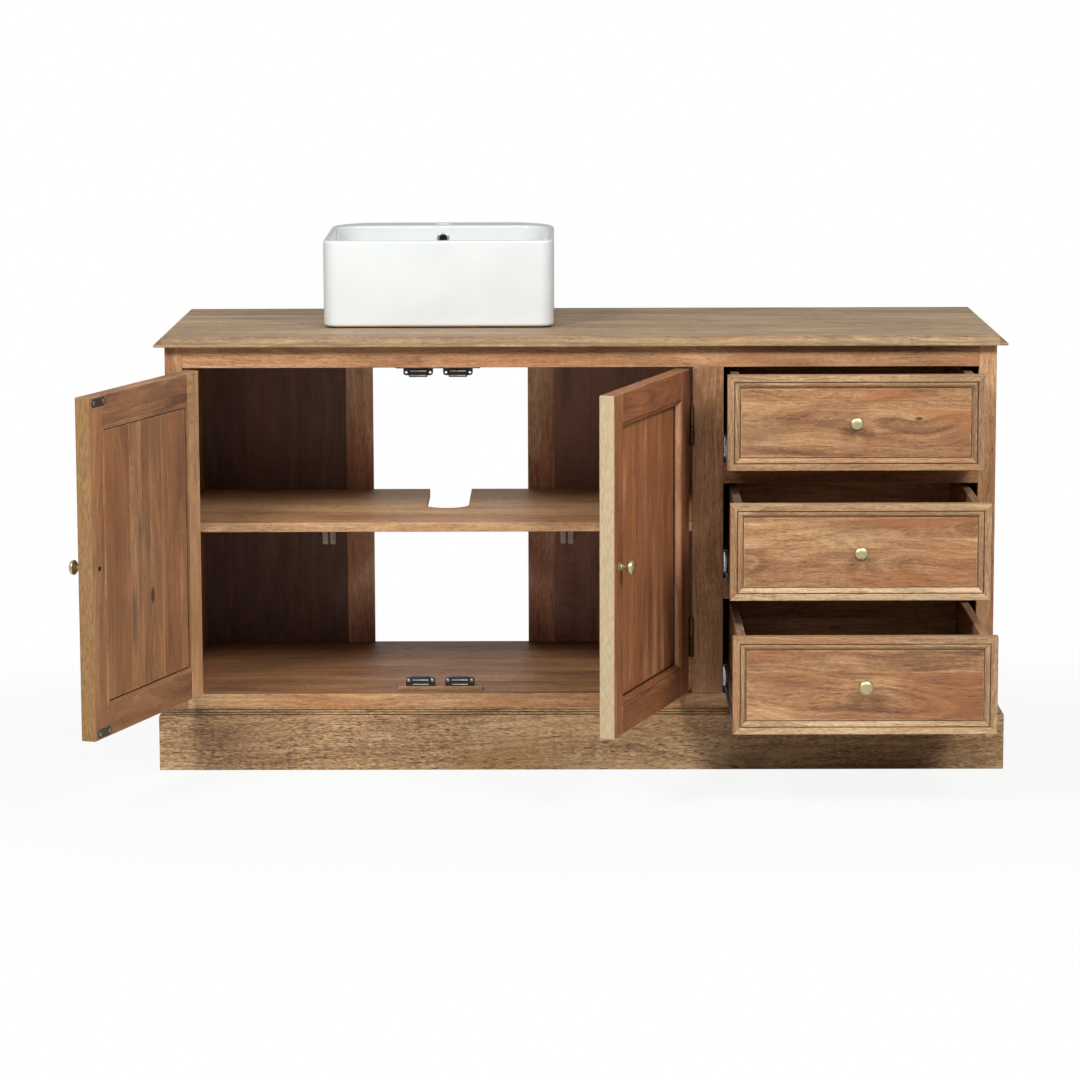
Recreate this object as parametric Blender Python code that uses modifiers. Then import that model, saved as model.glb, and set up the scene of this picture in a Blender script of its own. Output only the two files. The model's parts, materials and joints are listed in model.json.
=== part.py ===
"""Vanity unit in solid wood: a cupboard with two hinged doors beside three drawers, on a moulded
plinth, under a moulded worktop that carries a ceramic vessel basin.

Metres, +Z up. +X runs to the right as the unit is faced and +Y to the wall behind it. The origin is on
the floor at mid-width, under the middle of the front plinth board. Doors and drawers stand partly open.
"""

import math

import bmesh
import bpy
from mathutils import Matrix, Vector

# Clearances
FIT_GAP = 0.0003  # between pieces that touch
DOOR_GAP = 0.0025  # above, below and between the doors
HINGE_GAP = 0.0030  # between a door and its stile
DRAWER_GAP = 0.0020  # all round a drawer front
CATCH_GAP = 0.0005  # between a shut door and its catch
BALL_GAP = 0.0005  # between the flanges of a runner's two members
CUT_MARGIN = 0.010  # how far a cutter passes the piece that it cuts

# Across the front, from left to right
OUTER_STILE_WIDTH = 0.033
CUPBOARD_WIDTH = 0.959
CENTRE_STILE_WIDTH = 0.058
DRAWER_WIDTH = 0.479

# Up the front, from the floor
PLINTH_HEIGHT = 0.117
BOTTOM_RAIL_REVEAL = 0.0265
DRAWER_HEIGHT = 0.1815
DRAWER_RAIL_HEIGHT = 0.039
TOP_RAIL_HEIGHT = 0.041
WORKTOP_THICKNESS = 0.018

# Front to back
FRAME_THICKNESS = 0.028
CARCASS_DEPTH = 0.570
PLINTH_THICKNESS = 0.020

# Boards
SIDE_THICKNESS = 0.020
PARTITION_THICKNESS = 0.020
FLOOR_THICKNESS = 0.018
BOTTOM_RAIL_HIDDEN = 0.030
BACK_STILE_WIDTH = 0.055
BACK_STILE_THICKNESS = 0.014
BACK_PANEL_THICKNESS = 0.010
BACK_PANEL_INSET = 0.002
BACK_OPENING_WIDTH = 0.313
BACK_OPENING_INSET = 0.343  # from the inside of the left panel

# Worktop
WORKTOP_FRONT_OVERHANG = 0.020
WORKTOP_END_OVERHANG = 0.019
WORKTOP_REAR_OVERHANG = 0.010
EDGE_BEAD_HEIGHT = 0.003
EDGE_BEAD_STEP = 0.0015
EDGE_COVE_WIDTH = 0.0125
EDGE_COVE_DEPTH = 0.0105
EDGE_FILLET_STEP = 0.001

# Plinth moulding
LEDGE_STEPS = 3
LEDGE_HEIGHT = 0.011
LEDGE_CLIMB = 0.0009  # slope of each step towards the frame

# Shelf and its brackets
SHELF_HEIGHT = 0.460
SHELF_THICKNESS = 0.018
SHELF_SETBACK = 0.083
SLOT_WIDTH = 0.084
SLOT_LENGTH = 0.275
BRACKET_WIDTH = 0.026
BRACKET_DROP = 0.095
BRACKET_REACH = 0.070
BRACKET_METAL = 0.004
BRACKET_SLOT = 0.003
BRACKET_OFFSET_LEFT = 0.037
BRACKET_OFFSET_RIGHT = 0.0235

# Doors
DOOR_STILE_WIDTH = 0.060
DOOR_RAIL_WIDTH = 0.063
DOOR_PANEL_THICKNESS = 0.012
DOOR_PANEL_RECESS = 0.002  # behind the frame's rear face
DOOR_GROOVE_DEPTH = 0.008
DOOR_BEAD_WIDTH = 0.009
DOOR_BEAD_DEPTH = 0.010
LEFT_DOOR_ANGLE = 108.5
RIGHT_DOOR_ANGLE = 72.0

# Butt hinges
HINGE_LENGTH = 0.076
HINGE_MIDDLE_KNUCKLE = 0.0254
HINGE_LEAF_WIDTH = 0.022
HINGE_LEAF_METAL = 0.001
HINGE_BARREL_RADIUS = 0.0042
HINGE_FROM_END = 0.107

# Magnetic catches
CATCH_WIDTH = 0.056
CATCH_DEPTH = 0.020
CATCH_HEIGHT = 0.018
CATCH_SPACING = 0.075
CATCH_BATTEN_LENGTH = 0.160
CATCH_BATTEN_DEPTH = 0.025
CATCH_BATTEN_DROP = 0.008
CATCH_BATTEN_LAP = 0.022

# Drawers
DRAWER_FRONT_THICKNESS = 0.022
DRAWER_BORDER = 0.013
DRAWER_BORDER_STEP = 0.002
DRAWER_BEAD = 0.011
DRAWER_BEAD_STEP = 0.003
DRAWER_BOX_LENGTH = 0.500
DRAWER_BOX_WALL = 0.015
DRAWER_BOX_BOTTOM = 0.008
DRAWER_BOX_LIFT = 0.012
DRAWER_BOX_DROP = 0.010
UPPER_DRAWER_PULL = 0.134
MIDDLE_DRAWER_PULL = 0.271
LOWER_DRAWER_PULL = 0.408

# Drawer runners
RUNNER_SPACE = 0.0127
RUNNER_HEIGHT = 0.046
RUNNER_LENGTH = 0.480
RUNNER_METAL = 0.0015
RUNNER_FLANGE = 0.008
RUNNER_LIFT = 0.0033
RUNNER_SETBACK = 0.004

# Knobs
KNOB_RADIUS = 0.0135
KNOB_LENGTH = 0.0295
KNOB_HEAD_LENGTH = 0.015
KNOB_TAPER = 0.007  # behind the head's widest line
KNOB_NECK_RADIUS = 0.0042
KNOB_BASE_RADIUS = 0.0105
KNOB_BASE_HEIGHT = 0.004

# Basin
BASIN_WIDTH = 0.442
BASIN_DEPTH = 0.400
BASIN_HEIGHT = 0.167
BASIN_RIM_RISE = 0.008
BASIN_FRONT_CORNER = 0.030
BASIN_BACK_CORNER = 0.095
BASIN_WALL = 0.012
BASIN_EDGE_ROUND = 0.006
BASIN_DECK = 0.075
BASIN_FLOOR = 0.030
BASIN_SETBACK = 0.160
BASIN_SHIFT = -0.003  # from the cupboard's middle line
BOWL_BACK_CORNER = 0.060
BOWL_ROUND = 0.015
WASTE_RADIUS = 0.023
WASTE_CUTOUT_RADIUS = 0.030
TAP_HOLE_RADIUS = 0.0175
OVERFLOW_RADIUS = 0.011
OVERFLOW_BELOW_RIM = 0.026

# How finely round shapes are drawn
HOLE_SEGMENTS = 24
BARREL_SEGMENTS = 16
KNOB_SEGMENTS = 20
DOME_STEPS = 6
COVE_STEPS = 5
CORNER_STEPS = 12
SLOT_STEPS = 12
RIM_EDGE_STEPS = 2
BOWL_EDGE_STEPS = 3
SMOOTH_ANGLE = 40.0
BEVEL_ANGLE = 50.0
WELD_DISTANCE = 1e-6
AXIS_MERGE = 1e-5

# Places worked out from the sizes above
carcass_width = 2 * OUTER_STILE_WIDTH + CUPBOARD_WIDTH + CENTRE_STILE_WIDTH + DRAWER_WIDTH
left_x = -carcass_width / 2
right_x = carcass_width / 2
cupboard_left = left_x + OUTER_STILE_WIDTH
cupboard_right = cupboard_left + CUPBOARD_WIDTH
cupboard_middle = (cupboard_left + cupboard_right) / 2
basin_middle = cupboard_middle + BASIN_SHIFT
drawer_left = cupboard_right + CENTRE_STILE_WIDTH
drawer_right = drawer_left + DRAWER_WIDTH
partition_left = drawer_left - PARTITION_THICKNESS
inner_left = left_x + SIDE_THICKNESS
inner_right = right_x - SIDE_THICKNESS

face_y = PLINTH_THICKNESS / 2
frame_back = face_y + FRAME_THICKNESS
back_y = face_y + CARCASS_DEPTH
back_stile_front = back_y - BACK_STILE_THICKNESS
back_panel_back = back_y - BACK_PANEL_INSET
back_panel_front = back_panel_back - BACK_PANEL_THICKNESS

drawers = (
    ("drawer_lower", LOWER_DRAWER_PULL),
    ("drawer_middle", MIDDLE_DRAWER_PULL),
    ("drawer_upper", UPPER_DRAWER_PULL),
)
sill_z = PLINTH_HEIGHT + BOTTOM_RAIL_REVEAL
opening_height = len(drawers) * DRAWER_HEIGHT + (len(drawers) - 1) * DRAWER_RAIL_HEIGHT
lintel_z = sill_z + opening_height
worktop_under = lintel_z + TOP_RAIL_HEIGHT
worktop_top = worktop_under + WORKTOP_THICKNESS

back_opening_left = inner_left + BACK_OPENING_INSET
back_opening_right = back_opening_left + BACK_OPENING_WIDTH
shelf_back = back_stile_front - FIT_GAP
shelf_under = SHELF_HEIGHT - SHELF_THICKNESS

pin_offset = HINGE_BARREL_RADIUS + FIT_GAP
door_width = (CUPBOARD_WIDTH - 2 * HINGE_GAP - DOOR_GAP) / 2
door_bottom = sill_z + DOOR_GAP
door_top = lintel_z - DOOR_GAP

drawer_recess = DRAWER_BORDER_STEP + DRAWER_BEAD_STEP

basin_front = face_y + BASIN_SETBACK
basin_back = basin_front + BASIN_DEPTH
basin_base = worktop_top + FIT_GAP
bowl_back = basin_back - BASIN_DECK
waste_y = (basin_front + BASIN_WALL + bowl_back) / 2
tap_y = basin_back - BASIN_DECK / 2

# Colour, roughness and metallic value of each finish
WORKTOP_WOOD = ((0.30, 0.19, 0.11), 0.45, 0.0)
FRAME_WOOD = ((0.33, 0.18, 0.09), 0.45, 0.0)
FRONT_WOOD = ((0.36, 0.20, 0.10), 0.42, 0.0)
PLINTH_WOOD = ((0.36, 0.22, 0.12), 0.50, 0.0)
INNER_WOOD = ((0.24, 0.12, 0.06), 0.55, 0.0)
CERAMIC = ((0.86, 0.87, 0.85), 0.08, 0.0)
AGED_BRASS = ((0.55, 0.46, 0.28), 0.32, 1.0)
STEEL = ((0.55, 0.55, 0.54), 0.35, 1.0)
BLACK_PLASTIC = ((0.02, 0.02, 0.02), 0.45, 0.0)
PALE_PLASTIC = ((0.70, 0.68, 0.62), 0.50, 0.0)

# Turns of a flat outline: its own axes are u, v, and its thickness runs along the named axis
ALONG_X = Matrix(((0, 0, 1, 0), (1, 0, 0, 0), (0, 1, 0, 0), (0, 0, 0, 1)))
ALONG_Y = Matrix.Rotation(math.pi / 2, 4, "X")
ALONG_Z = Matrix.Identity(4)
HALF_TURN = Matrix.Rotation(math.pi, 4, "Z")


def clear_scene():
    for obj in list(bpy.data.objects):
        bpy.data.objects.remove(obj, do_unlink=True)


def new_collection(name):
    collection = bpy.data.collections.new(name)
    bpy.context.scene.collection.children.link(collection)
    return collection


clear_scene()
parts = new_collection("vanity_unit")
cutters = new_collection("cutters")


def add_pivot(name, location, turn=0.0):
    """Empty on a joint's axis, which carries the pieces that move together."""
    pivot = bpy.data.objects.new(name, None)
    pivot.location = location
    pivot.rotation_euler.z = math.radians(turn)
    parts.objects.link(pivot)
    return pivot


def add_part(name, mesh, look, parent=None):
    colour, roughness, metallic = look
    material = bpy.data.materials.new(name + "_finish")
    material.use_nodes = True
    shader = material.node_tree.nodes["Principled BSDF"]
    shader.inputs["Base Color"].default_value = (*colour, 1.0)
    shader.inputs["Roughness"].default_value = roughness
    shader.inputs["Metallic"].default_value = metallic
    mesh.materials.append(material)
    part = bpy.data.objects.new(name, mesh)
    part.parent = parent
    parts.objects.link(part)
    return part


def add_tool(name, mesh, parent=None):
    """Hidden shape that is cut from a part or joined to it."""
    tool = bpy.data.objects.new(name, mesh)
    tool.parent = parent
    tool.hide_render = True
    tool.display_type = "WIRE"
    cutters.objects.link(tool)
    return tool


def combine(part, tool, operation, solver="EXACT"):
    boolean = part.modifiers.new(tool.name, "BOOLEAN")
    boolean.operation = operation
    boolean.solver = solver
    boolean.object = tool


def box_mesh(name, low, high):
    size = Vector(high) - Vector(low)
    middle = (Vector(high) + Vector(low)) / 2
    shape = bmesh.new()
    bmesh.ops.create_cube(shape, size=1.0, matrix=Matrix.LocRotScale(middle, None, size))
    mesh = bpy.data.meshes.new(name)
    shape.to_mesh(mesh)
    shape.free()
    return mesh


def splay_mesh(name, low, high, flare):
    """Box whose front is wider by flare on each side, and whose back is narrower by as much."""
    middle = (Vector(high) + Vector(low)) / 2
    mesh = box_mesh(name, low, high)
    for vertex in mesh.vertices:
        outward = flare if vertex.co.y < middle.y else -flare
        vertex.co.x += math.copysign(outward, outward * (vertex.co.x - middle.x))
        vertex.co.z += math.copysign(outward, outward * (vertex.co.z - middle.z))
    return mesh


def cylinder_mesh(name, radius, low, high, segments, place=ALONG_Z):
    """Round bar along the local Z axis from low to high, then turned by place."""
    shape = bmesh.new()
    middle = place @ Matrix.Translation((0.0, 0.0, (low + high) / 2))
    bmesh.ops.create_cone(
        shape,
        cap_ends=True,
        segments=segments,
        radius1=radius,
        radius2=radius,
        depth=high - low,
        matrix=middle,
    )
    mesh = bpy.data.meshes.new(name)
    shape.to_mesh(mesh)
    shape.free()
    mesh.shade_smooth()
    mesh.set_sharp_from_angle(angle=math.radians(SMOOTH_ANGLE))
    return mesh


def outline_mesh(name, outline, depth, place):
    """Closed solid of a flat outline, its thickness centred on the outline's plane."""
    curve = bpy.data.curves.new(name, "CURVE")
    curve.dimensions = "2D"
    curve.fill_mode = "BOTH"
    curve.extrude = depth / 2
    spline = curve.splines.new("POLY")
    spline.points.add(len(outline) - 1)
    for point, (u, v) in zip(spline.points, outline):
        point.co = (u, v, 0.0, 1.0)
    spline.use_cyclic_u = True
    guide = bpy.data.objects.new(name, curve)
    cutters.objects.link(guide)
    graph = bpy.context.evaluated_depsgraph_get()
    mesh = bpy.data.meshes.new_from_object(guide.evaluated_get(graph))
    bpy.data.objects.remove(guide)
    shape = bmesh.new()
    shape.from_mesh(mesh)
    bmesh.ops.remove_doubles(shape, verts=shape.verts, dist=WELD_DISTANCE)
    bmesh.ops.recalc_face_normals(shape, faces=shape.faces)
    bmesh.ops.transform(shape, matrix=place, verts=shape.verts)
    shape.to_mesh(mesh)
    shape.free()
    return mesh


def arc(centre, radii, start, end, steps):
    """Points on an ellipse's arc, both ends included; angles in degrees."""
    points = []
    for i in range(steps + 1):
        angle = math.radians(start + (end - start) * i / steps)
        u = centre[0] + radii[0] * math.cos(angle)
        v = centre[1] + radii[1] * math.sin(angle)
        points.append((u, v))
    return points


def board(name, low, high, look, parent=None):
    return add_part(name, box_mesh(name, low, high), look, parent)


def cut_box(part, name, low, high, parent=None):
    combine(part, add_tool(name, box_mesh(name, low, high), parent), "DIFFERENCE")


def join_box(part, name, low, high, parent=None):
    combine(part, add_tool(name, box_mesh(name, low, high), parent), "UNION")


def cut_hole(part, name, radius, low, high, place):
    tool = add_tool(name, cylinder_mesh(name, radius, low, high, HOLE_SEGMENTS, place))
    combine(part, tool, "DIFFERENCE")


def hole_place(y):
    """Upright axis of a plumbing hole on the basin's middle line."""
    return Matrix.Translation((basin_middle, y, 0.0))


def make_worktop():
    half_width = carcass_width / 2 + WORKTOP_END_OVERHANG
    front = face_y - WORKTOP_FRONT_OVERHANG
    back = back_y + WORKTOP_REAR_OVERHANG
    low_corner = (-half_width, front, worktop_under)
    high_corner = (half_width, back, worktop_top)
    worktop = board("worktop", low_corner, high_corner, WORKTOP_WOOD)
    # Wood taken from an edge: u runs inwards from the edge's outermost line, v upwards from the top
    cove_start = (EDGE_FILLET_STEP, -EDGE_BEAD_HEIGHT)
    cove = arc(cove_start, (EDGE_COVE_WIDTH, EDGE_COVE_DEPTH), 0.0, -90.0, COVE_STEPS)
    bead_u = EDGE_FILLET_STEP + EDGE_COVE_WIDTH + EDGE_BEAD_STEP
    removed = [(-CUT_MARGIN, CUT_MARGIN), (bead_u, CUT_MARGIN), (bead_u, -EDGE_BEAD_HEIGHT)]
    removed += cove
    removed.append((-CUT_MARGIN, -EDGE_BEAD_HEIGHT - EDGE_COVE_DEPTH))
    width = 2 * half_width + 2 * CUT_MARGIN
    depth = 2 * (back - front) + 2 * CUT_MARGIN
    front_edge = Matrix.Translation((0.0, front, worktop_top))
    left_edge = Matrix.Translation((-half_width, front, worktop_top))
    right_edge = Matrix.Translation((half_width, front, worktop_top)) @ HALF_TURN
    edges = {
        "worktop_front_moulding": (width, front_edge @ ALONG_X),
        "worktop_left_moulding": (depth, left_edge @ ALONG_Y),
        "worktop_right_moulding": (depth, right_edge @ ALONG_Y),
    }
    for name, (length, place) in edges.items():
        tool = add_tool(name, outline_mesh(name, removed, length, place))
        combine(worktop, tool, "DIFFERENCE", "MANIFOLD")
    low, high = worktop_under - CUT_MARGIN, worktop_top + CUT_MARGIN
    cut_hole(worktop, "waste_cutout", WASTE_CUTOUT_RADIUS, low, high, hole_place(waste_y))
    cut_hole(worktop, "tap_cutout", TAP_HOLE_RADIUS, low, high, hole_place(tap_y))


def make_carcass():
    top = worktop_under - FIT_GAP
    behind_frame = frame_back + FIT_GAP
    board("side_panel_left", (left_x, behind_frame, 0.0), (inner_left, back_y, top), FRAME_WOOD)
    right = board("side_panel_right", (inner_right, behind_frame, 0.0), (right_x, back_y, top), FRAME_WOOD)
    for number, low in enumerate(drawer_floors(), 1):
        runner_low = low + RUNNER_LIFT
        runner_start = frame_back + RUNNER_SETBACK
        packing_x = inner_right + SIDE_THICKNESS / 2
        join_box(
            right,
            f"runner_packing_{number}",
            (drawer_right, runner_start, runner_low),
            (packing_x, runner_start + RUNNER_LENGTH, runner_low + RUNNER_HEIGHT),
        )
    board(
        "partition_panel",
        (partition_left, behind_frame, sill_z + FIT_GAP),
        (drawer_left, back_panel_front - FIT_GAP, top),
        INNER_WOOD,
    )
    board(
        "floor_panel",
        (inner_left + FIT_GAP, behind_frame, sill_z - FLOOR_THICKNESS),
        (inner_right - FIT_GAP, back_y, sill_z),
        INNER_WOOD,
    )


def make_face_frame():
    top = worktop_under - FIT_GAP
    board("stile_left", (left_x, face_y, 0.0), (cupboard_left, frame_back, top), FRAME_WOOD)
    board("stile_right", (drawer_right, face_y, 0.0), (right_x, frame_back, top), FRAME_WOOD)
    rail_left = cupboard_left + FIT_GAP
    rail_right = drawer_right - FIT_GAP
    board("rail_top", (rail_left, face_y, lintel_z), (rail_right, frame_back, top), FRAME_WOOD)
    rail_low = PLINTH_HEIGHT - BOTTOM_RAIL_HIDDEN
    board("rail_bottom", (rail_left, face_y, rail_low), (rail_right, frame_back, sill_z), FRAME_WOOD)
    board(
        "stile_centre",
        (cupboard_right, face_y, sill_z + FIT_GAP),
        (drawer_left, frame_back, lintel_z - FIT_GAP),
        FRAME_WOOD,
    )
    for name, low in zip(("drawer_rail_lower", "drawer_rail_upper"), drawer_floors()):
        rail_z = low + DRAWER_HEIGHT
        board(
            name,
            (drawer_left + FIT_GAP, face_y, rail_z),
            (rail_right, frame_back, rail_z + DRAWER_RAIL_HEIGHT),
            FRAME_WOOD,
        )


def make_back():
    low = sill_z + FIT_GAP
    high = worktop_under - FIT_GAP
    stile_left_x = back_opening_left - BACK_STILE_WIDTH
    stile_right_x = back_opening_right + BACK_STILE_WIDTH
    stiles = {
        "back_stile_left": (stile_left_x, back_opening_left),
        "back_stile_right": (back_opening_right, stile_right_x),
    }
    for name, (start, end) in stiles.items():
        board(name, (start, back_stile_front, low), (end, back_y, high), INNER_WOOD)
    panels = {
        "back_panel_left": (inner_left + FIT_GAP, stile_left_x - FIT_GAP),
        "back_panel_right": (stile_right_x + FIT_GAP, inner_right - FIT_GAP),
    }
    for name, (start, end) in panels.items():
        board(name, (start, back_panel_front, low), (end, back_panel_back, high), INNER_WOOD)


def plinth_section():
    """Section of a plinth board: u runs outwards from its back face, v upwards from the floor."""
    shoulder = PLINTH_HEIGHT - LEDGE_HEIGHT
    section = [(0.0, 0.0), (PLINTH_THICKNESS, 0.0), (PLINTH_THICKNESS, shoulder)]
    tread = PLINTH_THICKNESS / (LEDGE_STEPS + 1)
    rise = LEDGE_HEIGHT / LEDGE_STEPS
    for step in range(1, LEDGE_STEPS + 1):
        u = PLINTH_THICKNESS - tread * step
        section.append((u, shoulder + rise * (step - 1) + LEDGE_CLIMB))
        section.append((u, shoulder + rise * step))
    section.append((0.0, PLINTH_HEIGHT))
    return section


def make_plinth():
    """Three boards with a stepped top edge, mitred at the front corners."""
    front_back = face_y - FIT_GAP
    half = carcass_width / 2 + FIT_GAP
    outward_front = Matrix.Rotation(-math.pi / 2, 4, "Z") @ ALONG_Y
    front = outline_mesh("plinth_front", plinth_section(), 2 * half, outward_front)
    for vertex in front.vertices:
        vertex.co.x += math.copysign(vertex.co.y, vertex.co.x)
        vertex.co.y += front_back
    add_part("plinth_front", front, PLINTH_WOOD)
    length = back_y - front_back
    for name, side in (("plinth_left", -1), ("plinth_right", 1)):
        place = HALF_TURN @ ALONG_Y if side < 0 else ALONG_Y
        mesh = outline_mesh(name, plinth_section(), length, place)
        for vertex in mesh.vertices:
            if vertex.co.y < 0.0:
                vertex.co.y -= abs(vertex.co.x) - 2 * FIT_GAP
            vertex.co.x += side * half
            vertex.co.y += front_back + length / 2
        add_part(name, mesh, PLINTH_WOOD)


def make_shelf():
    left = inner_left + FIT_GAP
    right = partition_left - FIT_GAP
    front = face_y + SHELF_SETBACK
    middle = (back_opening_left + back_opening_right) / 2
    radius = SLOT_WIDTH / 2
    slot_end = (middle, shelf_back - SLOT_LENGTH + radius)
    outline = [(left, front), (right, front), (right, shelf_back), (middle + radius, shelf_back)]
    outline += arc(slot_end, (radius, radius), 0.0, -180.0, SLOT_STEPS)
    outline += [(middle - radius, shelf_back), (left, shelf_back)]
    place = Matrix.Translation((0.0, 0.0, SHELF_HEIGHT - SHELF_THICKNESS / 2))
    add_part("shelf", outline_mesh("shelf", outline, SHELF_THICKNESS, place), INNER_WOOD)


def make_shelf_brackets():
    """Angle brackets on the back panels; a slot splits each web into two ribs."""
    wall = back_panel_front - FIT_GAP
    under = shelf_under - FIT_GAP
    section = [
        (0.0, 0.0),
        (0.0, -BRACKET_DROP),
        (-BRACKET_METAL, -BRACKET_DROP),
        (-BRACKET_REACH, -BRACKET_METAL),
        (-BRACKET_REACH, 0.0),
    ]
    places = {
        "shelf_bracket_left": back_opening_left - BACK_STILE_WIDTH - BRACKET_OFFSET_LEFT,
        "shelf_bracket_right": back_opening_right + BACK_STILE_WIDTH + BRACKET_OFFSET_RIGHT,
    }
    for name, x in places.items():
        place = Matrix.Translation((x, wall, under)) @ ALONG_X
        bracket = add_part(name, outline_mesh(name, section, BRACKET_WIDTH, place), PALE_PLASTIC)
        cut_box(
            bracket,
            name + "_slot",
            (x - BRACKET_SLOT / 2, wall - BRACKET_REACH - CUT_MARGIN, under - BRACKET_DROP - CUT_MARGIN),
            (x + BRACKET_SLOT / 2, wall - BRACKET_METAL, under - BRACKET_METAL),
        )


def make_catches():
    """Two magnetic catches on a batten, above and below the meeting edges of the doors."""
    front = frame_back + CATCH_GAP
    half = CATCH_BATTEN_LENGTH / 2
    batten_back = front + CATCH_BATTEN_DEPTH
    bite = CATCH_BATTEN_DROP / 2
    upper_low, upper_high = lintel_z - CATCH_BATTEN_DROP, lintel_z + CATCH_BATTEN_LAP
    lower_low, lower_high = sill_z + FIT_GAP, sill_z + FIT_GAP + CATCH_BATTEN_DROP
    # Bottom and top of the batten, then of the catches that bite into it
    pairs = {
        "catch_pair_upper": (upper_low, upper_high, upper_low - CATCH_HEIGHT, upper_low + bite),
        "catch_pair_lower": (lower_low, lower_high, lower_high - bite, lower_high + CATCH_HEIGHT),
    }
    for name, (batten_low, batten_high, catch_low, catch_high) in pairs.items():
        pair = board(
            name,
            (cupboard_middle - half, front, batten_low),
            (cupboard_middle + half, batten_back, batten_high),
            BLACK_PLASTIC,
        )
        for side, word in ((-1, "left"), (1, "right")):
            x = cupboard_middle + side * CATCH_SPACING / 2
            join_box(
                pair,
                f"{name}_{word}",
                (x - CATCH_WIDTH / 2, front, catch_low),
                (x + CATCH_WIDTH / 2, front + CATCH_DEPTH, catch_high),
            )


def make_hinge_leaf(name, side, middle_z, barrels, parent):
    """Leaf on one side of a pin along Z: a plate in the hinge gap, and its barrels round the pin."""
    inner = side * (HINGE_GAP / 2 - FIT_GAP - HINGE_LEAF_METAL)
    outer = side * (HINGE_GAP / 2 - FIT_GAP)
    x_low, x_high = min(inner, outer), max(inner, outer)
    half = HINGE_LENGTH / 2
    leaf = board(
        name,
        (x_low, pin_offset, middle_z - half),
        (x_high, pin_offset + HINGE_LEAF_WIDTH, middle_z + half),
        AGED_BRASS,
        parent,
    )
    for number, (start, end) in enumerate(barrels):
        low, high = middle_z + start, middle_z + end
        tab = f"{name}_tab_{number}"
        join_box(leaf, tab, (x_low, 0.0, low), (x_high, pin_offset + HINGE_LEAF_METAL, high), parent)
        barrel = f"{name}_barrel_{number}"
        mesh = cylinder_mesh(barrel, HINGE_BARREL_RADIUS, low, high, BARREL_SEGMENTS)
        combine(leaf, add_tool(barrel, mesh, parent), "UNION")


def knob_mesh(name):
    """Turned knob along local Z: a foot, a waisted neck and a domed head."""
    head_z = KNOB_LENGTH - KNOB_HEAD_LENGTH
    rim_z = head_z + KNOB_TAPER
    dome = arc((0.0, rim_z), (KNOB_RADIUS, KNOB_LENGTH - rim_z), 90.0, 0.0, DOME_STEPS)
    profile = [(0.0, KNOB_LENGTH)] + dome[1:]
    profile += [(KNOB_NECK_RADIUS, head_z), (KNOB_NECK_RADIUS, KNOB_BASE_HEIGHT)]
    profile += [(KNOB_BASE_RADIUS, KNOB_BASE_HEIGHT), (KNOB_BASE_RADIUS, 0.0), (0.0, 0.0)]
    shape = bmesh.new()
    points = [shape.verts.new((radius, 0.0, z)) for radius, z in profile]
    for start, end in zip(points, points[1:]):
        shape.edges.new((start, end))
    mesh = bpy.data.meshes.new(name)
    shape.to_mesh(mesh)
    shape.free()
    return mesh


def make_knob(name, location, parent):
    knob = add_part(name, knob_mesh(name), AGED_BRASS, parent)
    knob.location = location
    knob.rotation_euler.x = math.pi / 2
    screw = knob.modifiers.new("turned", "SCREW")
    screw.axis = "Z"
    screw.steps = KNOB_SEGMENTS
    screw.render_steps = KNOB_SEGMENTS
    screw.use_merge_vertices = True
    screw.merge_threshold = AXIS_MERGE
    screw.use_smooth_shade = True


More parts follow.
